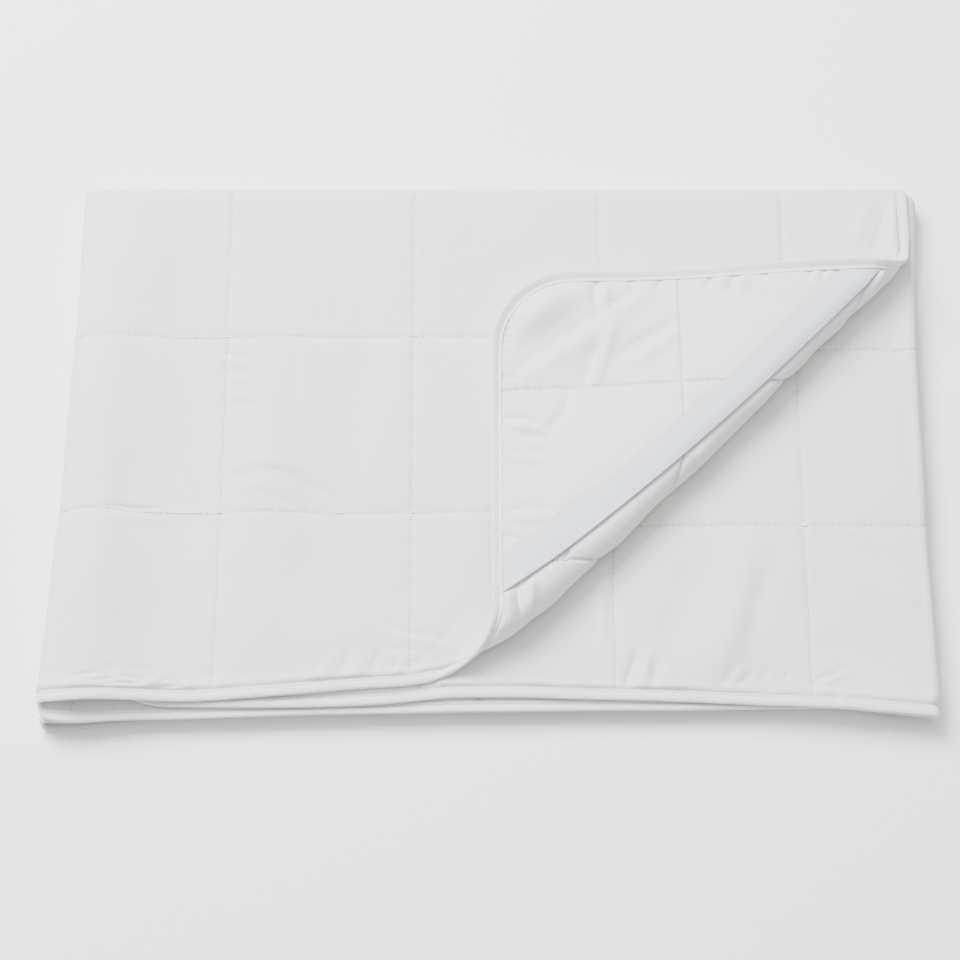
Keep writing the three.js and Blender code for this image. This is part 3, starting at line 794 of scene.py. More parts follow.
PROBE_PITCH = 10.0
probe_s, probe_t = pairs(np.arange(0, CLOTH_LENGTH, PROBE_PITCH), np.arange(0, CLOTH_WIDTH, PROBE_PITCH))
for cloth_side, side in (("face", FACE), ("backing", BACKING)):
    shown = where_shown(probe_s, probe_t, side, place(probe_s, probe_t))
    print("shares of the", cloth_side, {name: f"{here.mean():.1%}" for name, here in shown.items()})

# %% Steps of the blocks
LEFT_FOLD_REACH = 24
RIGHT_FOLD_REACH = 18
ROLL_REACH = 14
SEAM_REACH = 9
CREASE_REACH = 8
FINE_STEP = 2
FINEST_STEP = 1


def block_steps(side):
    """The step of each block on one side, in cells."""
    s, t = pairs((grid_s[:-1:BLOCK_CELLS] + grid_s[BLOCK_CELLS::BLOCK_CELLS]) / 2,
                 (grid_t[:-1:BLOCK_CELLS] + grid_t[BLOCK_CELLS::BLOCK_CELLS]) / 2)
    plan = place(s, t)
    shown = where_shown(s, t, side, plan)
    from_seam = np.minimum(nearest_line(lines_along, s)[0], nearest_line(lines_across, t)[0])
    past = past_turn_line(s, t)
    near_fold = np.abs(s - (LEFT_ARC_START + INNER_START) / 2) < LEFT_FOLD_REACH
    near_fold |= np.abs(s - (RIGHT_ARC_START + TUCKED_START) / 2) < RIGHT_FOLD_REACH
    near_roll = (past > -ROLL_REACH) & (past < ROLL_LENGTH + ROLL_REACH)
    outside = (side == FACE) & (s < INNER_START)

    step = np.where(outside, BLOCK_CELLS // 2, BLOCK_CELLS)
    step[near_fold | shown["margin"]] = FINE_STEP
    for name, rows in CREASES.items():
        finest = (side == BACKING) & (from_seam < SEAM_REACH)
        for row in rows:
            if row.width < WIDE_CREASE:
                finest |= along_crease(row, plan[:, 0], plan[:, 1])[0] < row.width / 2 + CREASE_REACH
        step[shown[name]] = FINE_STEP
        step[shown[name] & finest] = FINEST_STEP
    on_roll = FINEST_STEP if side == BACKING else FINE_STEP
    step[near_roll] = np.minimum(step[near_roll], on_roll)
    return step.reshape(len(grid_s) // BLOCK_CELLS, len(grid_t) // BLOCK_CELLS)


steps = {side: block_steps(side) for side in (FACE, BACKING)}
for edge in (np.s_[0, :], np.s_[-1, :], np.s_[:, 0], np.s_[:, -1]):
    both = np.minimum(steps[FACE][edge], steps[BACKING][edge])
    steps[FACE][edge] = both
    steps[BACKING][edge] = both
finest = sum(int((step == FINEST_STEP).sum()) for step in steps.values())
print("blocks:", steps[FACE].size * 2, "of which finest:", finest)

# %% Cells and walls of the pad
def used_points(step):
    """Which crossings of the grid the blocks of one side use."""
    used = np.zeros((len(grid_s), len(grid_t)), bool)
    for a, b in np.ndindex(step.shape):
        i, k, size = a * BLOCK_CELLS, b * BLOCK_CELLS, step[a, b]
        used[i:i + BLOCK_CELLS + 1:size, k:k + BLOCK_CELLS + 1:size] = True
    return used


def cell_corners(used, i, k, size):
    """The points round one cell, with the extra ones of a finer neighbour."""
    ring = [(i + m, k) for m in range(size)] + [(i + size, k + m) for m in range(size)]
    ring += [(i + size - m, k + size) for m in range(size)] + [(i, k + size - m) for m in range(size)]
    return [spot for spot in ring if used[spot]]


def edge_ring(used):
    """The points round the edge of one side, in order."""
    last_i, last_k = used.shape[0] - 1, used.shape[1] - 1
    ring = [(i, 0) for i in range(last_i)] + [(last_i, k) for k in range(last_k)]
    ring += [(i, last_k) for i in range(last_i, 0, -1)] + [(0, k) for k in range(last_k, 0, -1)]
    return [spot for spot in ring if used[spot]]


def pad_mesh():
    faces = []
    spots = []
    sides = []
    rings = {}
    count = 0
    for side in (FACE, BACKING):
        used = used_points(steps[side])
        number = np.full(used.shape, -1)
        number[used] = count + np.arange(used.sum())
        for a, b in np.ndindex(steps[side].shape):
            size = int(steps[side][a, b])
            for i in range(a * BLOCK_CELLS, (a + 1) * BLOCK_CELLS, size):
                for k in range(b * BLOCK_CELLS, (b + 1) * BLOCK_CELLS, size):
                    corners = [int(number[spot]) for spot in cell_corners(used, i, k, size)]
                    faces.append(corners[::-1] if side == FACE else corners)
        rings[side] = [int(number[spot]) for spot in edge_ring(used)]
        spots.append(np.argwhere(used))
        sides.append(np.full(int(used.sum()), side))
        count += int(used.sum())
    for n, upper in enumerate(rings[FACE]):
        after = (n + 1) % len(rings[FACE])
        faces.append([upper, rings[FACE][after], rings[BACKING][after], rings[BACKING][n]])
    spots = np.concatenate(spots)
    s, t = round_corners(grid_s[spots[:, 0]], grid_t[spots[:, 1]])
    return s, t, np.concatenate(sides), faces


pad_s, pad_t, pad_side, pad_faces = pad_mesh()
print("pad:", len(pad_s), "points,", len(pad_faces), "cells")

# %% [markdown]
# ## Pressed and free layers
#
# Inside the stack the layers press on each other. Outside it the filling is free, so the
# squares swell more there, and most of all round the roll. Under the strap the backing is
# pressed down again. A simulation of the filling would find all this by itself, but factors on
# the height are enough, and they are easy to change.

# %% Swelling where the pad is free
OUTER_PUFF = 1.4
TOP_FADE = 20
BARED_FADE = (-30, -5)
ROLL_PUFF = 0.5
ROLL_REACH_SHARE = 0.8
ROLL_LUMP_LENGTH = 33
ROLL_LUMP_BREADTH = 20
ROLL_LUMP = 0.9
ROLL_NOISE = 71


def outer_share(s, t, side, plan):
    """How far a place lies on the outside of the stack, where the pad can swell freely."""
    past = past_turn_line(s, t)
    top = 1 - smoothstep(s, LEFT_ARC_START, INNER_START)
    top *= (1 - smoothstep(t, BACK_ARC_START, BACK_ARC_END)) * (1 - smoothstep(past, 0, TOP_FADE))
    opened = past_turn_line(FREE_EDGE_X - plan[:, 0], plan[:, 1] - FRONT_EDGE_Y)
    bared = smoothstep(opened, *BARED_FADE) * (s > TUCKED_START) * (t < BACK_ARC_START)
    flap = smoothstep(past, 0, ROLL_LENGTH / 2)
    return np.where(side == FACE, np.maximum(top, bared), flap)


def roll_swelling(s, t, side, height):
    """The backing swells where it is stretched round the roll, in uneven lumps along it."""
    past = past_turn_line(s, t)
    on_roll = bell(past - ROLL_LENGTH / 2, ROLL_LENGTH * ROLL_REACH_SHARE) * (side == BACKING)
    lumps = ROLL_LUMP * soft_noise((s - t) / ROLL_LUMP_LENGTH, past / ROLL_LUMP_BREADTH, ROLL_NOISE)
    return (ROLL_PUFF * height + lumps * np.minimum(height / 2, 1)) * on_roll


free_share = outer_share(pad_s, pad_t, pad_side, place(pad_s, pad_t)).mean()
print("share of the points where the pad swells freely:", round(float(free_share), 2))

# %% The hollow under the strap
STRAP_LIFT = 1.1
STRAP_END_INSET = 7.8
STRAP_START = np.array([STRAP_END_INSET, STRAP_FROM_RIGHT_EDGE])
STRAP_RUN = np.array([STRAP_FROM_FRONT_EDGE, STRAP_END_INSET]) - STRAP_START
STRAP_LENGTH = np.linalg.norm(STRAP_RUN)
STRAP_RISE_LENGTH = 26
STRAP_MARGIN = 9
STRAP_EDGE_GAP = 1.5
STRAP_REST_GAP = 0.25
STRAP_SEWN_GAP = 0.1


def strap_underside(from_end):
    """The height of the strap's underside above the pad's middle."""
    free = smoothstep(from_end, 0, STRAP_RISE_LENGTH)
    sewn = SEWN_THICKNESS / 2 + STRAP_SEWN_GAP
    return sewn * (1 - free) + (PAD_THICKNESS / 2 + STRAP_LIFT) * free


def strap_line(share, bow, skew_s=0, skew_t=0):
    """Places at a share of the strap's run, skewed in s and t and then bowed sideways."""
    s = STRAP_START[0] + STRAP_RUN[0] * share + skew_s - bow * STRAP_RUN[1] / STRAP_LENGTH
    t = STRAP_START[1] + STRAP_RUN[1] * share + skew_t + bow * STRAP_RUN[0] / STRAP_LENGTH
    return s, t


def under_strap(s, t, height):
    """The backing's height where the strap presses on it."""
    run = (s - STRAP_START[0]) * STRAP_RUN[0] + (t - STRAP_START[1]) * STRAP_RUN[1]
    share = np.clip(run / STRAP_LENGTH ** 2, 0, 1)
    centre_s, centre_t = strap_line(share, STRAP_BOW * np.sin(math.pi * share))
    away = np.hypot(s - centre_s, t - centre_t) - STRAP_WIDTH / 2
    most = strap_underside(np.minimum(share, 1 - share) * STRAP_LENGTH) - STRAP_REST_GAP
    most = most - STRAP_EDGE_GAP * bell(away, STRAP_MARGIN)
    pressed = 1 - smoothstep(away, 0, STRAP_MARGIN)
    return height - np.maximum(height - most, 0) * pressed


print("strap:", round(STRAP_LENGTH), "mm long, its underside", strap_underside(STRAP_LENGTH / 2), "mm up")

# %% Height of what is seen
def visible_height(s, t, side, plan):
    """The height of a side above the cloth's middle, with its creases."""
    face, backing = surface_height(s, t, FACE), surface_height(s, t, BACKING)
    height = np.where(side == FACE, face, backing)
    other = np.where(side == FACE, backing, face)
    height *= 1 + (OUTER_PUFF - 1) * outer_share(s, t, side, plan)
    height += roll_swelling(s, t, side, height)
    inset = edge_inset(s, t)
    for which in (FACE, BACKING):
        shown = where_shown(s, t, which, plan)
        for name, rows in CREASES.items():
            here = shown[name] & (side == which)
            creases = crease_height(rows, plan[here, 0], plan[here, 1], inset[here])
            height[here] += CREASE_STRENGTHS[name] * creases
    height = np.where(side == BACKING, under_strap(s, t, height), height)
    return np.maximum(height, LEAST_THICKNESS - other)


middle, face_way, _, _ = cloth_frame(pad_s, pad_t)
pad_height = visible_height(pad_s, pad_t, pad_side, middle)
print("the sides lie", pad_height.min().round(2), "to", pad_height.max().round(2), "mm off the middle")

# %% The pad
def new_object(name, points, faces, uv):
    mesh = bpy.data.meshes.new(name)
    mesh.from_pydata(points.tolist(), [], faces)
    mesh.polygons.foreach_set("use_smooth", [True] * len(mesh.polygons))
    layer = mesh.uv_layers.new(name="cloth")
    corners = np.zeros(len(mesh.loops), int)
    mesh.loops.foreach_get("vertex_index", corners)
    layer.data.foreach_set("uv", uv[corners].astype(np.float32).ravel())
    mesh.update()
    return linked_object(name, mesh)


def count_triangles(obj):
    return sum(len(polygon.vertices) - 2 for polygon in obj.data.polygons)


pad_points = to_metres(middle + face_way * (pad_side * pad_height)[:, None])
pad_uv = np.stack([pad_s, pad_t], axis=1) * MM
pad = new_object("quilted_pad", pad_points, pad_faces, pad_uv)
print("pad:", len(pad.data.vertices), "points,", count_triangles(pad), "triangles")

# %% [markdown]
# ## The binding
#
# The edge is bound with a folded tape, sewn through near its inner edge. It is made as one ring:
# a hollow, C-shaped section carried round the edge of the flat cloth and then folded with it.
# The seam draws the tape in, and the tape puckers a little between the stitches.

# %% Section of the tape
TapeCorner = namedtuple("TapeCorner", "inset height")
TAPE_FACE = (
    TapeCorner(8.5, 0.8),
    TapeCorner(8.35, 1.35),
    TapeCorner(7.4, 1.35),
    TapeCorner(6.7, 0.95),
    TapeCorner(6.0, 1.3),
    TapeCorner(4.6, 1.75),
    TapeCorner(3.0, 1.85),
    TapeCorner(1.4, 1.6),
    TapeCorner(0.4, 1.0),
)
TAPE_LIP = TapeCorner(0, 0)
TAPE_BACKING = (
    TapeCorner(8.6, 0.85),
    TapeCorner(8.5, 1.5),
    TapeCorner(7.4, 1.65),
    TapeCorner(6.6, 1.2),
    TapeCorner(5.8, 0.6),
    TapeCorner(5.0, 1.1),
    TapeCorner(3.8, 1.55),
    TapeCorner(2.2, 1.65),
    TapeCorner(0.7, 1.45),
)
TAPE_INSIDE = (
    TapeCorner(8.3, 0.7),
    TapeCorner(5.8, 0.5),
    TapeCorner(3.6, 1.2),
    TapeCorner(1.8, 0.9),
)
FACE_SEAM_CORNER = 3
BACKING_SEAM_CORNER = len(TAPE_FACE) + len(TAPE_BACKING) - 4


def tape_section():
    upper = [(corner.inset, corner.height) for corner in TAPE_FACE]
    lower = [(corner.inset, -corner.height) for corner in TAPE_BACKING[::-1]]
    inner_low = [(corner.inset, -corner.height) for corner in TAPE_INSIDE]
    inner_up = [(corner.inset, corner.height) for corner in TAPE_INSIDE[::-1]]
    return np.array(upper + [tuple(TAPE_LIP)] + lower + inner_low + inner_up)


print("corners of the tape's section:", len(tape_section()))

# %% Line round the edge
TAPE_STEP = 2.4


def edge_line(step):
    """Places round the edge of the flat cloth, with the direction into it."""
    corners = (
        (CLOTH_LENGTH - CORNER_RADIUS, CORNER_RADIUS, -math.pi / 2),
        (CLOTH_LENGTH - CORNER_RADIUS, CLOTH_WIDTH - CORNER_RADIUS, 0),
        (CORNER_RADIUS, CLOTH_WIDTH - CORNER_RADIUS, math.pi / 2),
        (CORNER_RADIUS, CORNER_RADIUS, math.pi),
    )
    places, inward = [], []
    turn_steps = round(CORNER_RADIUS * math.pi / 2 / step)
    for n, (s, t, start) in enumerate(corners):
        before = corners[n - 1]
        last = before[2] + math.pi / 2
        out = np.array([math.cos(last), math.sin(last)])
        began = np.array(before[:2]) + CORNER_RADIUS * out
        ends = np.array([s, t]) + CORNER_RADIUS * np.array([math.cos(start), math.sin(start)])
        straight = round(np.linalg.norm(ends - began) / step)
        for k in range(straight):
            places.append(began + (ends - began) * k / straight)
            inward.append(-out)
        for k in range(turn_steps):
            angle = start + math.pi / 2 * k / turn_steps
            out = np.array([math.cos(angle), math.sin(angle)])
            places.append(np.array([s, t]) + CORNER_RADIUS * out)
            inward.append(-out)
    return np.array(places), np.array(inward)


print("places round the edge:", len(edge_line(TAPE_STEP)[0]))

# %% Binding
TAPE_WANDER = 0.35
TAPE_WANDER_LENGTH = 23
TAPE_WANDER_NOISE = 41
TAPE_PUCKER = 0.16
TAPE_PUCKER_LENGTH = 5.5
TAPE_PUCKER_ROWS = 0.22
TAPE_PUCKER_NOISE = 43
TAPE_JOINT_AT = 1428
TAPE_JOINT_LENGTH = 26
TAPE_JOINT_HEIGHT = 1.4
TAPE_JOINT_GROOVE = 0.5
TAPE_GROOVE_INSET = 2
TAPE_GROOVE_REACH = 3.6
TAPE_UV_WIDTH = 12
STRAP_HEM_RISE = 0.9
STRAP_HEM_REACH = 1.3 * (STRAP_WIDTH / 2 * math.sqrt(2) + 2)
STRAP_HEM_FULLNESS = 1.6
HEM_SOFTNESS = (3, 8)
HEM_RISE_SOFTNESS = (3, 7)


def near_strap_end(s, t):
    """How much a place on the edge lies over an end of the strap, from 0 to 1."""
    right = bell(np.hypot(s, t - STRAP_FROM_RIGHT_EDGE), STRAP_HEM_REACH)
    front = bell(np.hypot(s - STRAP_FROM_FRONT_EDGE, t), STRAP_HEM_REACH)
    return np.minimum(STRAP_HEM_FULLNESS * (right + front), 1)


def joint_height(s, t):
    """The tape's joint on the front edge: its end lies over its start, with a groove beside it."""
    joint = smoothstep(s, TAPE_JOINT_AT - TAPE_JOINT_LENGTH, TAPE_JOINT_AT) * (s < TAPE_JOINT_AT)
    groove = bell(s - TAPE_JOINT_AT - TAPE_GROOVE_INSET, TAPE_GROOVE_REACH) * (s >= TAPE_JOINT_AT)
    return (joint - TAPE_JOINT_GROOVE * groove) * (t < 1)


def binding_mesh():
    places, inward = edge_line(TAPE_STEP)
    section = tape_section()
    rows = len(places)
    run = np.arange(rows) * TAPE_STEP
    s0, t0 = places.T
    over_strap = near_strap_end(s0, t0)
    joint = joint_height(s0, t0)
    wander_line = TAPE_WANDER * noise_along(run, TAPE_WANDER_LENGTH, 0.5, TAPE_WANDER_NOISE)
    points, uv = [], []
    for k, (inset, height) in enumerate(section):
        wander = wander_line * smoothstep(inset, *HEM_SOFTNESS)
        puckers = noise_along(run, TAPE_PUCKER_LENGTH, inset * TAPE_PUCKER_ROWS, TAPE_PUCKER_NOISE)
        swell = 1 + TAPE_PUCKER * puckers
        s = s0 + inward[:, 0] * (inset + wander)
        t = t0 + inward[:, 1] * (inset + wander)
        raised = height * swell
        if height < 0:
            raised = raised - STRAP_HEM_RISE * over_strap * smoothstep(inset, *HEM_RISE_SOFTNESS)
        if k <= len(TAPE_FACE) + len(TAPE_BACKING):
            raised = raised + math.copysign(TAPE_JOINT_HEIGHT, height) * joint * (height != 0)
        middle, face, _, _ = cloth_frame(s, t)
        points.append(to_metres(middle + face * raised[:, None]))
        uv.append(np.stack([run, np.full(rows, TAPE_UV_WIDTH * k / len(section))], axis=1) * MM)
    points = np.stack(points, axis=1).reshape(-1, 3)
    uv = np.stack(uv, axis=1).reshape(-1, 2)
    sides = len(section)
    faces = []
    for n in range(rows):
        here, there = n * sides, (n + 1) % rows * sides
        for k in range(sides):
            after = (k + 1) % sides
            faces.append([here + k, here + after, there + after, there + k])
    return new_object("binding_tape", points, faces, uv)


binding = binding_mesh()
print("binding:", count_triangles(binding), "triangles")

# %% [markdown]
# ## The elastic strap
#
# The strap is woven elastic, 24 mm wide, with fine ribs along its length. It is a closed flat
# ribbon over the backing. Its ribs are real low waves in its upper face, because they show.

# %% Ribs of the strap
RIB_PITCH = 1.42
RIB_GROOVES = 15
RIB_DEPTH = 0.3
RIB_GROOVE_WIDTH = 0.22
RIB_OFFSETS = (-0.42, -0.2, 0, 0.2, 0.42)
STRAP_EDGE_ROUNDING = 0.8
STRAP_EDGE_DROP = 0.35
STRAP_EDGE_COLUMN = 0.3


def rib_grooves(across):
    """How deep a groove lies at each place across the strap."""
    number = np.round(across / RIB_PITCH)
    away = across - number * RIB_PITCH
    grooved = np.abs(number) <= RIB_GROOVES // 2
    return RIB_DEPTH * np.exp(-(away / RIB_GROOVE_WIDTH) ** 2) * grooved


def strap_columns():
    """Places across the strap: close together in each groove and at the rounded edges."""
    grooves = [number * RIB_PITCH for number in range(-(RIB_GROOVES // 2), RIB_GROOVES // 2 + 1)]
    columns = sorted([place + offset for place in grooves for offset in RIB_OFFSETS])
    half = STRAP_WIDTH / 2
    edge = [half - STRAP_EDGE_ROUNDING, half - STRAP_EDGE_COLUMN, half]
    return np.array([-place for place in edge[::-1]] + columns + edge)


print("columns across the strap:", len(strap_columns()))

# %% Strap
STRAP_STEPS = 150
StrapBump = namedtuple("StrapBump", "from_left reach height")
STRAP_BUMPS = (StrapBump(20, 24, 3.0), StrapBump(76, 32, 3.6), StrapBump(190, 60, 0.8))
STRAP_RIPPLE = 1.6
STRAP_RIPPLE_LENGTH = 21
STRAP_RIPPLE_NOISE = 63
STRAP_RIPPLE_START = (0.5, 0.7)
STRAP_RIPPLE_END = (8, 40)
STRAP_SEWN_SHARE = 0.72


def strap_height(share, across):
    """The height of the strap's underside, and of its upper face, above the pad's middle."""
    run = share * STRAP_LENGTH
    from_end = np.minimum(share, 1 - share) * STRAP_LENGTH
    ripple = np.maximum(noise_along(run, STRAP_RIPPLE_LENGTH, 0.5, STRAP_RIPPLE_NOISE), 0)
    ripple *= smoothstep(share, *STRAP_RIPPLE_START) * smoothstep(from_end, *STRAP_RIPPLE_END)
    under = strap_underside(from_end) + STRAP_RIPPLE * ripple
    half = STRAP_WIDTH / 2
    rounded = STRAP_EDGE_DROP * smoothstep(np.abs(across), half - STRAP_EDGE_ROUNDING, half)
    free = smoothstep(from_end, 0, STRAP_RISE_LENGTH)
    fullness = STRAP_SEWN_SHARE + (1 - STRAP_SEWN_SHARE) * free
    thickness = STRAP_THICKNESS * fullness - rib_grooves(across) - rounded
    return under + rounded, under + thickness


def strap_mesh():
    slant, slope = STRAP_LENGTH / STRAP_RUN[0], STRAP_LENGTH / -STRAP_RUN[1]
    shares = np.linspace(0, 1, STRAP_STEPS + 1)
    columns = strap_columns()
    share, across = pairs(shares, columns)
    run = share * STRAP_LENGTH
    bow = STRAP_BOW * np.sin(math.pi * share)
    upper = 0.5 - across / STRAP_WIDTH
    for bump in STRAP_BUMPS:
        bow -= upper * bump.height * bell(STRAP_LENGTH - run - bump.from_left, bump.reach)
    s, t = strap_line(share, bow, across * slope * share, across * slant * (1 - share))
    lower_face, upper_face = strap_height(share, across)
    near = cloth_points(s, t, -lower_face)
    far = cloth_points(s, t, -upper_face)
    rows, width = len(shares), len(columns)
    number = np.arange(rows * width).reshape(rows, width)
    offset = rows * width
    faces = []
    for n in range(rows - 1):
        for k in range(width - 1):
            a, b, c, d = number[n, k], number[n + 1, k], number[n + 1, k + 1], number[n, k + 1]
            faces.append([int(a), int(d), int(c), int(b)])
            faces.append([int(a) + offset, int(b) + offset, int(c) + offset, int(d) + offset])
    ring = [*number[:, 0], *number[-1, 1:], *number[-2::-1, -1], *number[0, -2:0:-1]]
    for n, here in enumerate(ring):
        there = ring[(n + 1) % len(ring)]
        faces.append([int(here), int(there), int(there) + offset, int(here) + offset])
    uv = np.stack([run, across], axis=1) * MM
    return new_object("elastic_strap", np.concatenate([near, far]), faces, np.concatenate([uv, uv]))


strap = strap_mesh()
print("strap:", count_triangles(strap), "triangles")

# %% [markdown]
# ## Materials
#
# The cloths are all near white, the elastic a little bluer, and what tells them apart is mostly
# their texture. One shader group makes a plain weave from the cloth's own flat coordinates, so
# the threads follow the folds, and the materials paint shade into the gaps between its threads.
# A second one finds the needle holes on the quilt lines, where shade is painted in, and a mask
# paints shade into the grooves of the elastic and darkens its edges, partly for the edge thread
# and partly as painted shade. Woven threads as real geometry would need millions of
# faces and look no better.

# %% Plain weave
FIBRE_NOISE = (420, 4)
MOTTLE_NOISE = (16, 3)


def add_sockets(group, inputs, outputs):
    """The inputs and outputs of a node group: vectors have no value, numbers have one."""
    for name, value in inputs:
        kind = "NodeSocketVector" if value is None else "NodeSocketFloat"
        socket = group.interface.new_socket(name, in_out="INPUT", socket_type=kind)
        if value is not None:
            socket.default_value = value
    for name in outputs:
        group.interface.new_socket(name, in_out="OUTPUT", socket_type="NodeSocketFloat")
    return group.nodes.new("NodeGroupInput"), group.nodes.new("NodeGroupOutput")


def maths(tree):
    """A short way to add arithmetic to a node tree."""
    def add(operation, *values):
        node = tree.nodes.new("ShaderNodeMath")
        node.operation = operation
        for index, value in enumerate(values):
            if isinstance(value, (int, float)):
                node.inputs[index].default_value = value
            else:
                tree.links.new(value, node.inputs[index])
        return node.outputs[0]
    return add


def separated(tree, vector):
    """The three parts of a vector."""
    parts = tree.nodes.new("ShaderNodeSeparateXYZ")
    tree.links.new(vector, parts.inputs[0])
    return parts.outputs


def weave_group():
    group = bpy.data.node_groups.new("plain weave", "ShaderNodeTree")
    inputs = (("Vector", None), ("Threads", 2200.0), ("Unevenness", 0.3))
    start, end = add_sockets(group, inputs, ("Height", "Gap", "Mottle"))
    nodes, links = group.nodes, group.links
    add = maths(group)
    parts = separated(group, start.outputs["Vector"])
    along = add("MULTIPLY", parts[0], start.outputs["Threads"])
    across = add("MULTIPLY", parts[1], start.outputs["Threads"])
    over = add("MULTIPLY", add("SINE", add("MULTIPLY", along, math.pi)),
               add("SINE", add("MULTIPLY", across, math.pi)))
    noises = []
    for scale, detail in (FIBRE_NOISE, MOTTLE_NOISE):
        noise = nodes.new("ShaderNodeTexNoise")
        links.new(start.outputs["Vector"], noise.inputs["Vector"])
        noise.inputs["Scale"].default_value = scale
        noise.inputs["Detail"].default_value = detail
        noises.append(noise.outputs[0])
    plain = add("MULTIPLY_ADD", over, 0.5, 0.5)
    uneven = add("MULTIPLY", noises[0], start.outputs["Unevenness"])
    links.new(add("ADD", plain, uneven), end.inputs["Height"])
    # Gap marks where the threads part; the materials paint shade into the colour there.
    links.new(add("SUBTRACT", 1, add("ABSOLUTE", over)), end.inputs["Gap"])
    links.new(noises[1], end.inputs["Mottle"])
    return group


weave = weave_group()
print("weave group:", len(weave.nodes), "nodes")

# %% Needle holes
def needle_hole_group():
    """A mask of the holes on evenly spaced seams, which step a little from side to side."""
    group = bpy.data.node_groups.new("needle holes", "ShaderNodeTree")
    inputs = (("Across seam", 0.0), ("Along seam", 0.0), ("First seam", 0.1), ("Seam pitch", 0.15),
              ("Stitch pitch", 0.005), ("Side step", 0.0003), ("Radius", 0.0009))
    start, end = add_sockets(group, inputs, ("Hole",))
    add = maths(group)
    value = start.outputs

    def from_nearest(place, pitch):
        turns = add("DIVIDE", place, pitch)
        nearest = add("ROUND", turns)
        return add("MULTIPLY", add("SUBTRACT", turns, nearest), pitch), nearest

    from_first = add("SUBTRACT", value["Across seam"], value["First seam"])
    beside, _ = from_nearest(from_first, value["Seam pitch"])
    along, number = from_nearest(value["Along seam"], value["Stitch pitch"])
    side = add("MULTIPLY_ADD", add("FLOORED_MODULO", number, 2), 2, -1)
    beside = add("SUBTRACT", beside, add("MULTIPLY", side, value["Side step"]))
    away = add("SQRT", add("ADD", add("MULTIPLY", beside, beside), add("MULTIPLY", along, along)))
    hole = add("MAXIMUM", add("SUBTRACT", 1, add("DIVIDE", away, value["Radius"])), 0)
    group.links.new(hole, end.inputs["Hole"])
    return group


needle_holes = needle_hole_group()
print("needle holes:", len(needle_holes.nodes), "nodes")

# %% Masks of holes and ribs
STITCH_PITCH = 5
STITCH_SIDE_STEP = 0.3
# Painted shade in the grooves of the elastic: its width, its strength, and the weft that varies it.
RIB_SHADE_WIDTH = 0.24
RIB_SHADE = 0.8
WEFT_PITCH = 0.9
WEFT_SHADE = 0.18
# The strap's edges are darker: partly its edge thread, partly painted shade.
STRAP_EDGE_THREAD_AND_SHADE = 0.75


def needle_hole_mask(tree, uv):
    """The holes of both families of quilt lines, from the flat coordinates."""
    nodes, links = tree.nodes, tree.links
    parts = separated(tree, uv)
    masks = []
    for across, along, first, pitch in (
        (0, 1, FIRST_LINE_ALONG, QUILT_PITCH_ALONG),
        (1, 0, FIRST_LINE_ACROSS, QUILT_PITCH_ACROSS),
    ):
        group = nodes.new("ShaderNodeGroup")
        group.node_tree = needle_holes
        links.new(parts[across], group.inputs["Across seam"])
        links.new(parts[along], group.inputs["Along seam"])
        for name, value in (
            ("First seam", first),
            ("Seam pitch", pitch),
            ("Stitch pitch", STITCH_PITCH),
            ("Side step", STITCH_SIDE_STEP),
        ):
            group.inputs[name].default_value = value * MM
        masks.append(group.outputs["Hole"])
    return maths(tree)("MAXIMUM", *masks)


def rib_shade_and_edge_thread_mask(tree, uv):
    """Painted shade in the grooves between the strap's ribs, varied by the finer steps of its weft, and a
    darker edge, partly its edge thread and partly painted shade.
    """
    add = maths(tree)
    parts = separated(tree, uv)
    turns = add("DIVIDE", parts[1], RIB_PITCH * MM)
    away = add("ABSOLUTE", add("SUBTRACT", turns, add("ROUND", turns)))
    groove = add("MAXIMUM", add("SUBTRACT", 1, add("DIVIDE", away, RIB_SHADE_WIDTH)), 0)
    inside = add("LESS_THAN", add("ABSOLUTE", turns), RIB_GROOVES / 2)
    weft = add("SINE", add("MULTIPLY", parts[0], 2 * math.pi / (WEFT_PITCH * MM)))
    uneven = add("MULTIPLY_ADD", weft, WEFT_SHADE, RIB_SHADE)
    ribs = add("MULTIPLY", add("MULTIPLY", groove, inside), uneven)
    # A darker edge: partly the edge thread, partly painted shade.
    border = (STRAP_WIDTH / 2 - STRAP_EDGE_ROUNDING) * MM
    edge = add("GREATER_THAN", add("ABSOLUTE", parts[1]), border)
    return add("MAXIMUM", ribs, add("MULTIPLY", edge, STRAP_EDGE_THREAD_AND_SHADE))


def mix_colours(tree, factor, first, second):
    mix = tree.nodes.new("ShaderNodeMix")
    mix.data_type = "RGBA"
    tree.links.new(factor, mix.inputs[0])
    for index, colour in ((6, first), (7, second)):
        if isinstance(colour, tuple):
            mix.inputs[index].default_value = (*colour, 1)
        else:
            tree.links.new(colour, mix.inputs[index])
    return mix.outputs[2]


print("stitch holes every", STITCH_PITCH, "mm, ribs every", RIB_PITCH, "mm")

# %% Cloth materials
SHEEN_ROUGHNESS = 0.5
CLOTH_IOR = 1.45
# Painted shade in the gaps between the threads of the weave.
PAINTED_GAP_SHADE = (0.92, 0.92, 0.92)
MOTTLE_SHADE = (0.985, 0.98, 0.955)
# Painted shade in the grooves of the elastic.
PAINTED_RIB_GROOVE_SHADE = (0.45, 0.45, 0.45)
# Painted shade in the needle holes: the dark colour laid into them, and how much of it.
PAINTED_HOLE_SHADE = (0.2, 0.19, 0.17)
PAINTED_HOLE_SHADE_STRENGTH = 0.85
HOLE_DEPTH = 3
BUMP_STRENGTH = 0.35
Cloth = namedtuple("Cloth", "colour threads roughness sheen bump holes ribs", defaults=(False, False))


def shaded(colour, shade):
    return tuple(value * share for value, share in zip(colour, shade))


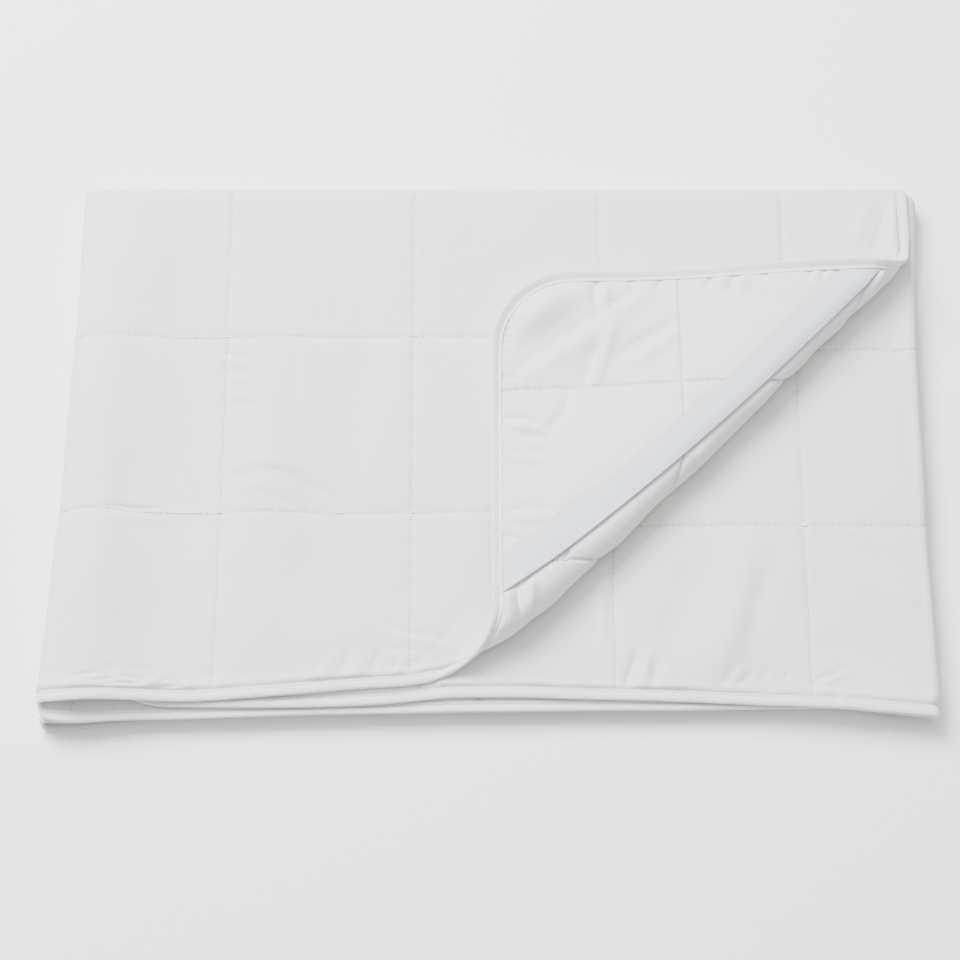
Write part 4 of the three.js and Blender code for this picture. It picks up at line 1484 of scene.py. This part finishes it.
def cloth_material(name, cloth):
    material = bpy.data.materials.new(name)
    material.use_nodes = True
    tree = material.node_tree
    nodes, links = tree.nodes, tree.links
    shader = nodes["Principled BSDF"]
    shader.inputs["Roughness"].default_value = cloth.roughness
    shader.inputs["Sheen Weight"].default_value = cloth.sheen
    shader.inputs["Sheen Roughness"].default_value = SHEEN_ROUGHNESS
    shader.inputs["IOR"].default_value = CLOTH_IOR
    uv = nodes.new("ShaderNodeUVMap")
    uv.uv_map = "cloth"
    group = nodes.new("ShaderNodeGroup")
    group.node_tree = weave
    group.inputs["Threads"].default_value = cloth.threads
    links.new(uv.outputs[0], group.inputs["Vector"])
    add = maths(tree)
    toned = mix_colours(tree, group.outputs["Mottle"], cloth.colour, shaded(cloth.colour, MOTTLE_SHADE))
    # Painted shade in the gaps of the weave.
    colour = mix_colours(tree, group.outputs["Gap"], toned, shaded(cloth.colour, PAINTED_GAP_SHADE))
    height = group.outputs["Height"]
    if cloth.holes:
        hole = needle_hole_mask(tree, uv.outputs[0])
        # Painted shade in the needle holes; the bump below sinks them as well.
        colour = mix_colours(tree, add("MULTIPLY", hole, PAINTED_HOLE_SHADE_STRENGTH), colour, PAINTED_HOLE_SHADE)
        height = add("SUBTRACT", height, add("MULTIPLY", hole, HOLE_DEPTH))
    if cloth.ribs:
        # Painted shade in the grooves of the elastic, and a darker edge: partly its edge thread, partly
        # painted shade.
        line = rib_shade_and_edge_thread_mask(tree, uv.outputs[0])
        colour = mix_colours(tree, line, colour, shaded(cloth.colour, PAINTED_RIB_GROOVE_SHADE))
    links.new(colour, shader.inputs["Base Color"])
    bump_node = nodes.new("ShaderNodeBump")
    bump_node.inputs["Strength"].default_value = BUMP_STRENGTH
    bump_node.inputs["Distance"].default_value = cloth.bump
    links.new(height, bump_node.inputs["Height"])
    links.new(bump_node.outputs[0], shader.inputs["Normal"])
    return material


quilt_material = cloth_material(
    "quilted cloth", Cloth((0.78, 0.78, 0.765), 2200, 0.9, 0.12, 0.0001, holes=True))
tape_material = cloth_material(
    "binding tape", Cloth((0.79, 0.79, 0.785), 2000, 0.85, 0.1, 0.00012))
strap_material = cloth_material(
    "woven elastic", Cloth((0.76, 0.785, 0.905), 1500, 0.75, 0.1, 0.0001, ribs=True))
thread_material = cloth_material(
    "sewing thread", Cloth((0.80, 0.80, 0.79), 3000, 0.7, 0.1, 0.00005))
for piece, material in ((pad, quilt_material), (binding, tape_material), (strap, strap_material)):
    piece.data.materials.append(material)
print("materials:", [material.name for material in bpy.data.materials])

# %% [markdown]
# ## Stitches
#
# The quilt lines are sewn with a stitch every five millimetres, and the tape with shorter ones
# near its hem. Thousands of threads could be copied one by one. Here the places are worked out
# on the folded cloth, and a node tree sets one short arched thread on each and turns it along
# its seam. On the quilt lines only the stitches that can be seen are made, and on the tape they
# run all the way round.

# %% Stitch places on the quilt lines
THREAD_SIZES = {"quilt": (3.7, 0.62, 0.62), "tape": (2.3, 0.5, 0.5)}
SEEN_BEFORE_ROLL = 6
SEEN_PAST_FOLD = 20
SEEN_ON_ROLL = ROLL_LENGTH / 3
StitchRun = namedtuple("StitchRun", "points along up size")


def shows_outside(s, t, side, plan):
    """Whether a place can be seen, so that its stitch is worth making."""
    past = past_turn_line(s, t)
    if side == BACKING:
        return past > -SEEN_BEFORE_ROLL
    shown = where_shown(s, t, side, plan)
    on_top = (s < INNER_START + SEEN_PAST_FOLD) & (past < SEEN_ON_ROLL)
    return shown["bared"] | shown["margin"] | on_top


def thread_sizes(kind, count):
    return np.tile(np.array(THREAD_SIZES[kind]) * MM, (count, 1))


def quilt_stitches(side):
    runs = []
    for lines, length in ((lines_along, CLOTH_WIDTH), (lines_across, CLOTH_LENGTH)):
        lengthwise = length == CLOTH_LENGTH
        line, number = pairs(lines, np.arange(int(length / STITCH_PITCH)))
        along = (number + 0.5) * STITCH_PITCH
        s, t = (along, line) if lengthwise else (line, along)
        middle, face, way_s, way_t = cloth_frame(s, t)
        keep = (edge_inset(s, t) > TAPE_WIDTH) & shows_outside(s, t, side, middle)
        height = visible_height(s, t, np.full(len(s), side), middle)
        lean = (1 - 2 * (number % 2))[:, None] * 2 * STITCH_SIDE_STEP / STITCH_PITCH
        way = way_s + lean * way_t if lengthwise else way_t + lean * way_s
        points = to_metres(middle + face * (side * height)[:, None])
        size = thread_sizes("quilt", len(s))
        runs.append(StitchRun(points[keep], way[keep], (face * side)[keep], size[keep]))
    return runs


quilt_runs = quilt_stitches(FACE) + quilt_stitches(BACKING)
print("stitches on the quilt lines:", sum(len(run.points) for run in quilt_runs))

# %% Stitch places on the tape
TAPE_STITCH_PITCH = 3.2


def tape_stitches():
    """Runs on both sides of the binding, between the rows of its own mesh."""
    spots = np.zeros(len(binding.data.vertices) * 3)
    binding.data.vertices.foreach_get("co", spots)
    spots = spots.reshape(-1, len(tape_section()), 3)
    rows = len(spots)
    number = np.arange(int(rows * TAPE_STEP / TAPE_STITCH_PITCH))
    places = (number + 0.5) * TAPE_STITCH_PITCH / TAPE_STEP
    before = np.floor(places).astype(int)
    share = (places - before)[:, None]
    here, after = spots[before % rows], spots[(before + 1) % rows]
    between = here * (1 - share[:, :, None]) + after * share[:, :, None]
    way = after - here
    size = thread_sizes("tape", len(places))
    thickness = between[:, FACE_SEAM_CORNER] - between[:, BACKING_SEAM_CORNER]
    return [
        StitchRun(between[:, seam], way[:, seam], thickness * side, size)
        for seam, side in ((FACE_SEAM_CORNER, FACE), (BACKING_SEAM_CORNER, BACKING))
    ]


def stitch_places(runs):
    """A mesh of points that carry the direction, the upward way and the size of each stitch."""
    mesh = bpy.data.meshes.new("stitch_places")
    mesh.from_pydata(np.concatenate([run.points for run in runs]).tolist(), [], [])
    for name in ("along", "up", "size"):
        values = np.concatenate([getattr(run, name) for run in runs])
        attribute = mesh.attributes.new(name, "FLOAT_VECTOR", "POINT")
        attribute.data.foreach_set("vector", values.astype(np.float32).ravel())
    return linked_object("stitch_places", mesh)


places_of_stitches = stitch_places(quilt_runs + tape_stitches())
print("places for stitches:", len(places_of_stitches.data.vertices))

# %% Stitch tree
STITCH_INPUTS = {"Arch": 0.9, "Unevenness": 0.12}
STITCH_SEED = 5
ARCH_LEVEL = 0.12
ARCH_SCALE = 4


def stitch_tree():
    tree = bpy.data.node_groups.new("threads on places", "GeometryNodeTree")
    face = tree.interface
    face.new_socket("Places", in_out="INPUT", socket_type="NodeSocketGeometry")
    for name, value in STITCH_INPUTS.items():
        socket = face.new_socket(name, in_out="INPUT", socket_type="NodeSocketFloat")
        socket.default_value = value
    face.new_socket("Seed", in_out="INPUT", socket_type="NodeSocketInt")
    face.new_socket("Thread", in_out="INPUT", socket_type="NodeSocketMaterial")
    face.new_socket("Stitches", in_out="OUTPUT", socket_type="NodeSocketGeometry")
    nodes, links = tree.nodes, tree.links

    def add(kind, inputs=(), **settings):
        node = nodes.new(kind)
        for name, value in settings.items():
            setattr(node, name, value)
        for name, value in inputs:
            socket = next(one for one in node.inputs if one.name == name and one.enabled)
            if isinstance(value, bpy.types.NodeSocket):
                links.new(value, socket)
            else:
                socket.default_value = value
        return node

    start = nodes.new("NodeGroupInput").outputs
    arithmetic = maths(tree)
    rod = add("GeometryNodeMeshCylinder",
              (("Vertices", 5), ("Side Segments", 3), ("Radius", 0.5), ("Depth", 1.0)))
    lying = add("GeometryNodeTransform",
                (("Geometry", rod.outputs["Mesh"]), ("Rotation", (0, math.pi / 2, 0))))
    position = add("GeometryNodeInputPosition")
    parts = add("ShaderNodeSeparateXYZ", (("Vector", position.outputs[0]),))
    squared = arithmetic("MULTIPLY", parts.outputs[0], parts.outputs[0])
    raised = arithmetic("MULTIPLY", arithmetic("SUBTRACT", ARCH_LEVEL, squared), start["Arch"])
    offset = add("ShaderNodeCombineXYZ")
    links.new(arithmetic("MULTIPLY", raised, ARCH_SCALE), offset.inputs[2])
    arched = add("GeometryNodeSetPosition", (("Geometry", lying.outputs[0]), ("Offset", offset.outputs[0])))
    named = {
        name: add("GeometryNodeInputNamedAttribute", (("Name", name),), data_type="FLOAT_VECTOR")
        for name in ("along", "up", "size")
    }
    turned = add("FunctionNodeAlignRotationToVector", (("Vector", named["along"].outputs[0]),), axis="X")
    upright = add("FunctionNodeAlignRotationToVector",
                  (("Rotation", turned.outputs[0]), ("Vector", named["up"].outputs[0])),
                  axis="Z", pivot_axis="X")
    least = arithmetic("SUBTRACT", 1, start["Unevenness"])
    most = arithmetic("ADD", 1, start["Unevenness"])
    varied = add("FunctionNodeRandomValue", (("Min", least), ("Max", most), ("Seed", start["Seed"])),
                 data_type="FLOAT")
    scale = add("ShaderNodeVectorMath", operation="SCALE")
    links.new(named["size"].outputs[0], scale.inputs[0])
    links.new(next(one for one in varied.outputs if one.enabled), scale.inputs["Scale"])
    copies = add("GeometryNodeInstanceOnPoints", (
        ("Points", start["Places"]), ("Instance", arched.outputs[0]),
        ("Rotation", upright.outputs[0]), ("Scale", scale.outputs[0]),
    ))
    real = add("GeometryNodeRealizeInstances", (("Geometry", copies.outputs[0]),))
    smooth = add("GeometryNodeSetShadeSmooth", (("Geometry", real.outputs[0]),))
    dressed = add("GeometryNodeSetMaterial", (("Geometry", smooth.outputs[0]), ("Material", start["Thread"])))
    links.new(dressed.outputs[0], nodes.new("NodeGroupOutput").inputs[0])
    return tree


tree = stitch_tree()
print("stitch tree:", len(tree.nodes), "nodes")

# %% Stitches
def run_tree(places, tree, values, name):
    """The tree's result as a plain mesh in an object of its own."""
    modifier = places.modifiers.new("stitches", "NODES")
    modifier.node_group = tree
    for socket in tree.interface.items_tree:
        if socket.in_out == "INPUT" and socket.name in values:
            modifier[socket.identifier] = values[socket.name]
    bpy.context.view_layer.update()
    evaluated = places.evaluated_get(bpy.context.evaluated_depsgraph_get())
    mesh = bpy.data.meshes.new_from_object(evaluated)
    mesh.polygons.foreach_set("material_index", [0] * len(mesh.polygons))
    mesh.materials.clear()
    mesh.materials.append(values["Thread"])
    places.modifiers.remove(modifier)
    bpy.data.objects.remove(places)
    return linked_object(name, mesh)


stitch_values = {**STITCH_INPUTS, "Seed": STITCH_SEED, "Thread": thread_material}
stitches = run_tree(places_of_stitches, tree, stitch_values, "seam_stitches")
print("stitches:", count_triangles(stitches), "triangles")

# %% [markdown]
# ## Floor and light
#
# A plain pale floor and large soft lamps, as in a product photograph. The stronger lamp stands
# behind on the left, so that the creases and the valleys of the quilting throw soft shadows
# towards the camera. A picture of a studio could light the cloth too, but lamps are easier to
# move, and the file needs nothing from outside.

# %% Stage
FLOOR_HALF = 4.0
FLOOR_COLOUR = (0.92, 0.92, 0.92, 1)
FLOOR_ROUGHNESS = 0.8
WORLD_COLOUR = (1, 1, 1, 1)
WORLD_STRENGTH = 0.65
Lamp = namedtuple("Lamp", "name position size power")
LAMPS = (
    Lamp("back left lamp", (-1.1, 1.25, 2.35), 1.8, 256),
    Lamp("overhead lamp", (0.2, 0.2, 2.6), 2.2, 38),
)


def add_stage():
    floor_mesh = bpy.data.meshes.new("floor")
    corners = [(x * FLOOR_HALF, y * FLOOR_HALF, 0) for x, y in ((-1, -1), (1, -1), (1, 1), (-1, 1))]
    floor_mesh.from_pydata(corners, [], [(0, 1, 2, 3)])
    floor = linked_object("floor", floor_mesh)
    material = bpy.data.materials.new("pale floor")
    material.use_nodes = True
    shader = material.node_tree.nodes["Principled BSDF"]
    shader.inputs["Base Color"].default_value = FLOOR_COLOUR
    shader.inputs["Roughness"].default_value = FLOOR_ROUGHNESS
    floor_mesh.materials.append(material)

    world = bpy.data.worlds.new("soft studio")
    world.use_nodes = True
    background = world.node_tree.nodes["Background"]
    background.inputs[0].default_value = WORLD_COLOUR
    background.inputs[1].default_value = WORLD_STRENGTH
    bpy.context.scene.world = world


def add_lamp(lamp):
    data = bpy.data.lights.new(lamp.name, "AREA")
    data.shape = "DISK"
    data.size = lamp.size
    data.energy = lamp.power
    made = linked_object(lamp.name, data)
    made.location = lamp.position
    made.rotation_mode = "QUATERNION"
    made.rotation_quaternion = (-Vector(lamp.position)).to_track_quat("-Z", "Y")


add_stage()
for lamp in LAMPS:
    add_lamp(lamp)
print("lamps:", [lamp.name for lamp in LAMPS])

# %% [markdown]
# ## Hand over the pieces
#
# The pad, the binding and the strap take the places of their imported solids. All four pieces
# ride on the one body.

# %% Pieces and frame
for piece, node, slot in (
    (pad, "pad", "quilted_cloth"),
    (binding, "binding", "binding_tape"),
    (strap, "strap", "elastic"),
):
    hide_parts(node)
    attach(piece, "root")
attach(stitches, "root")
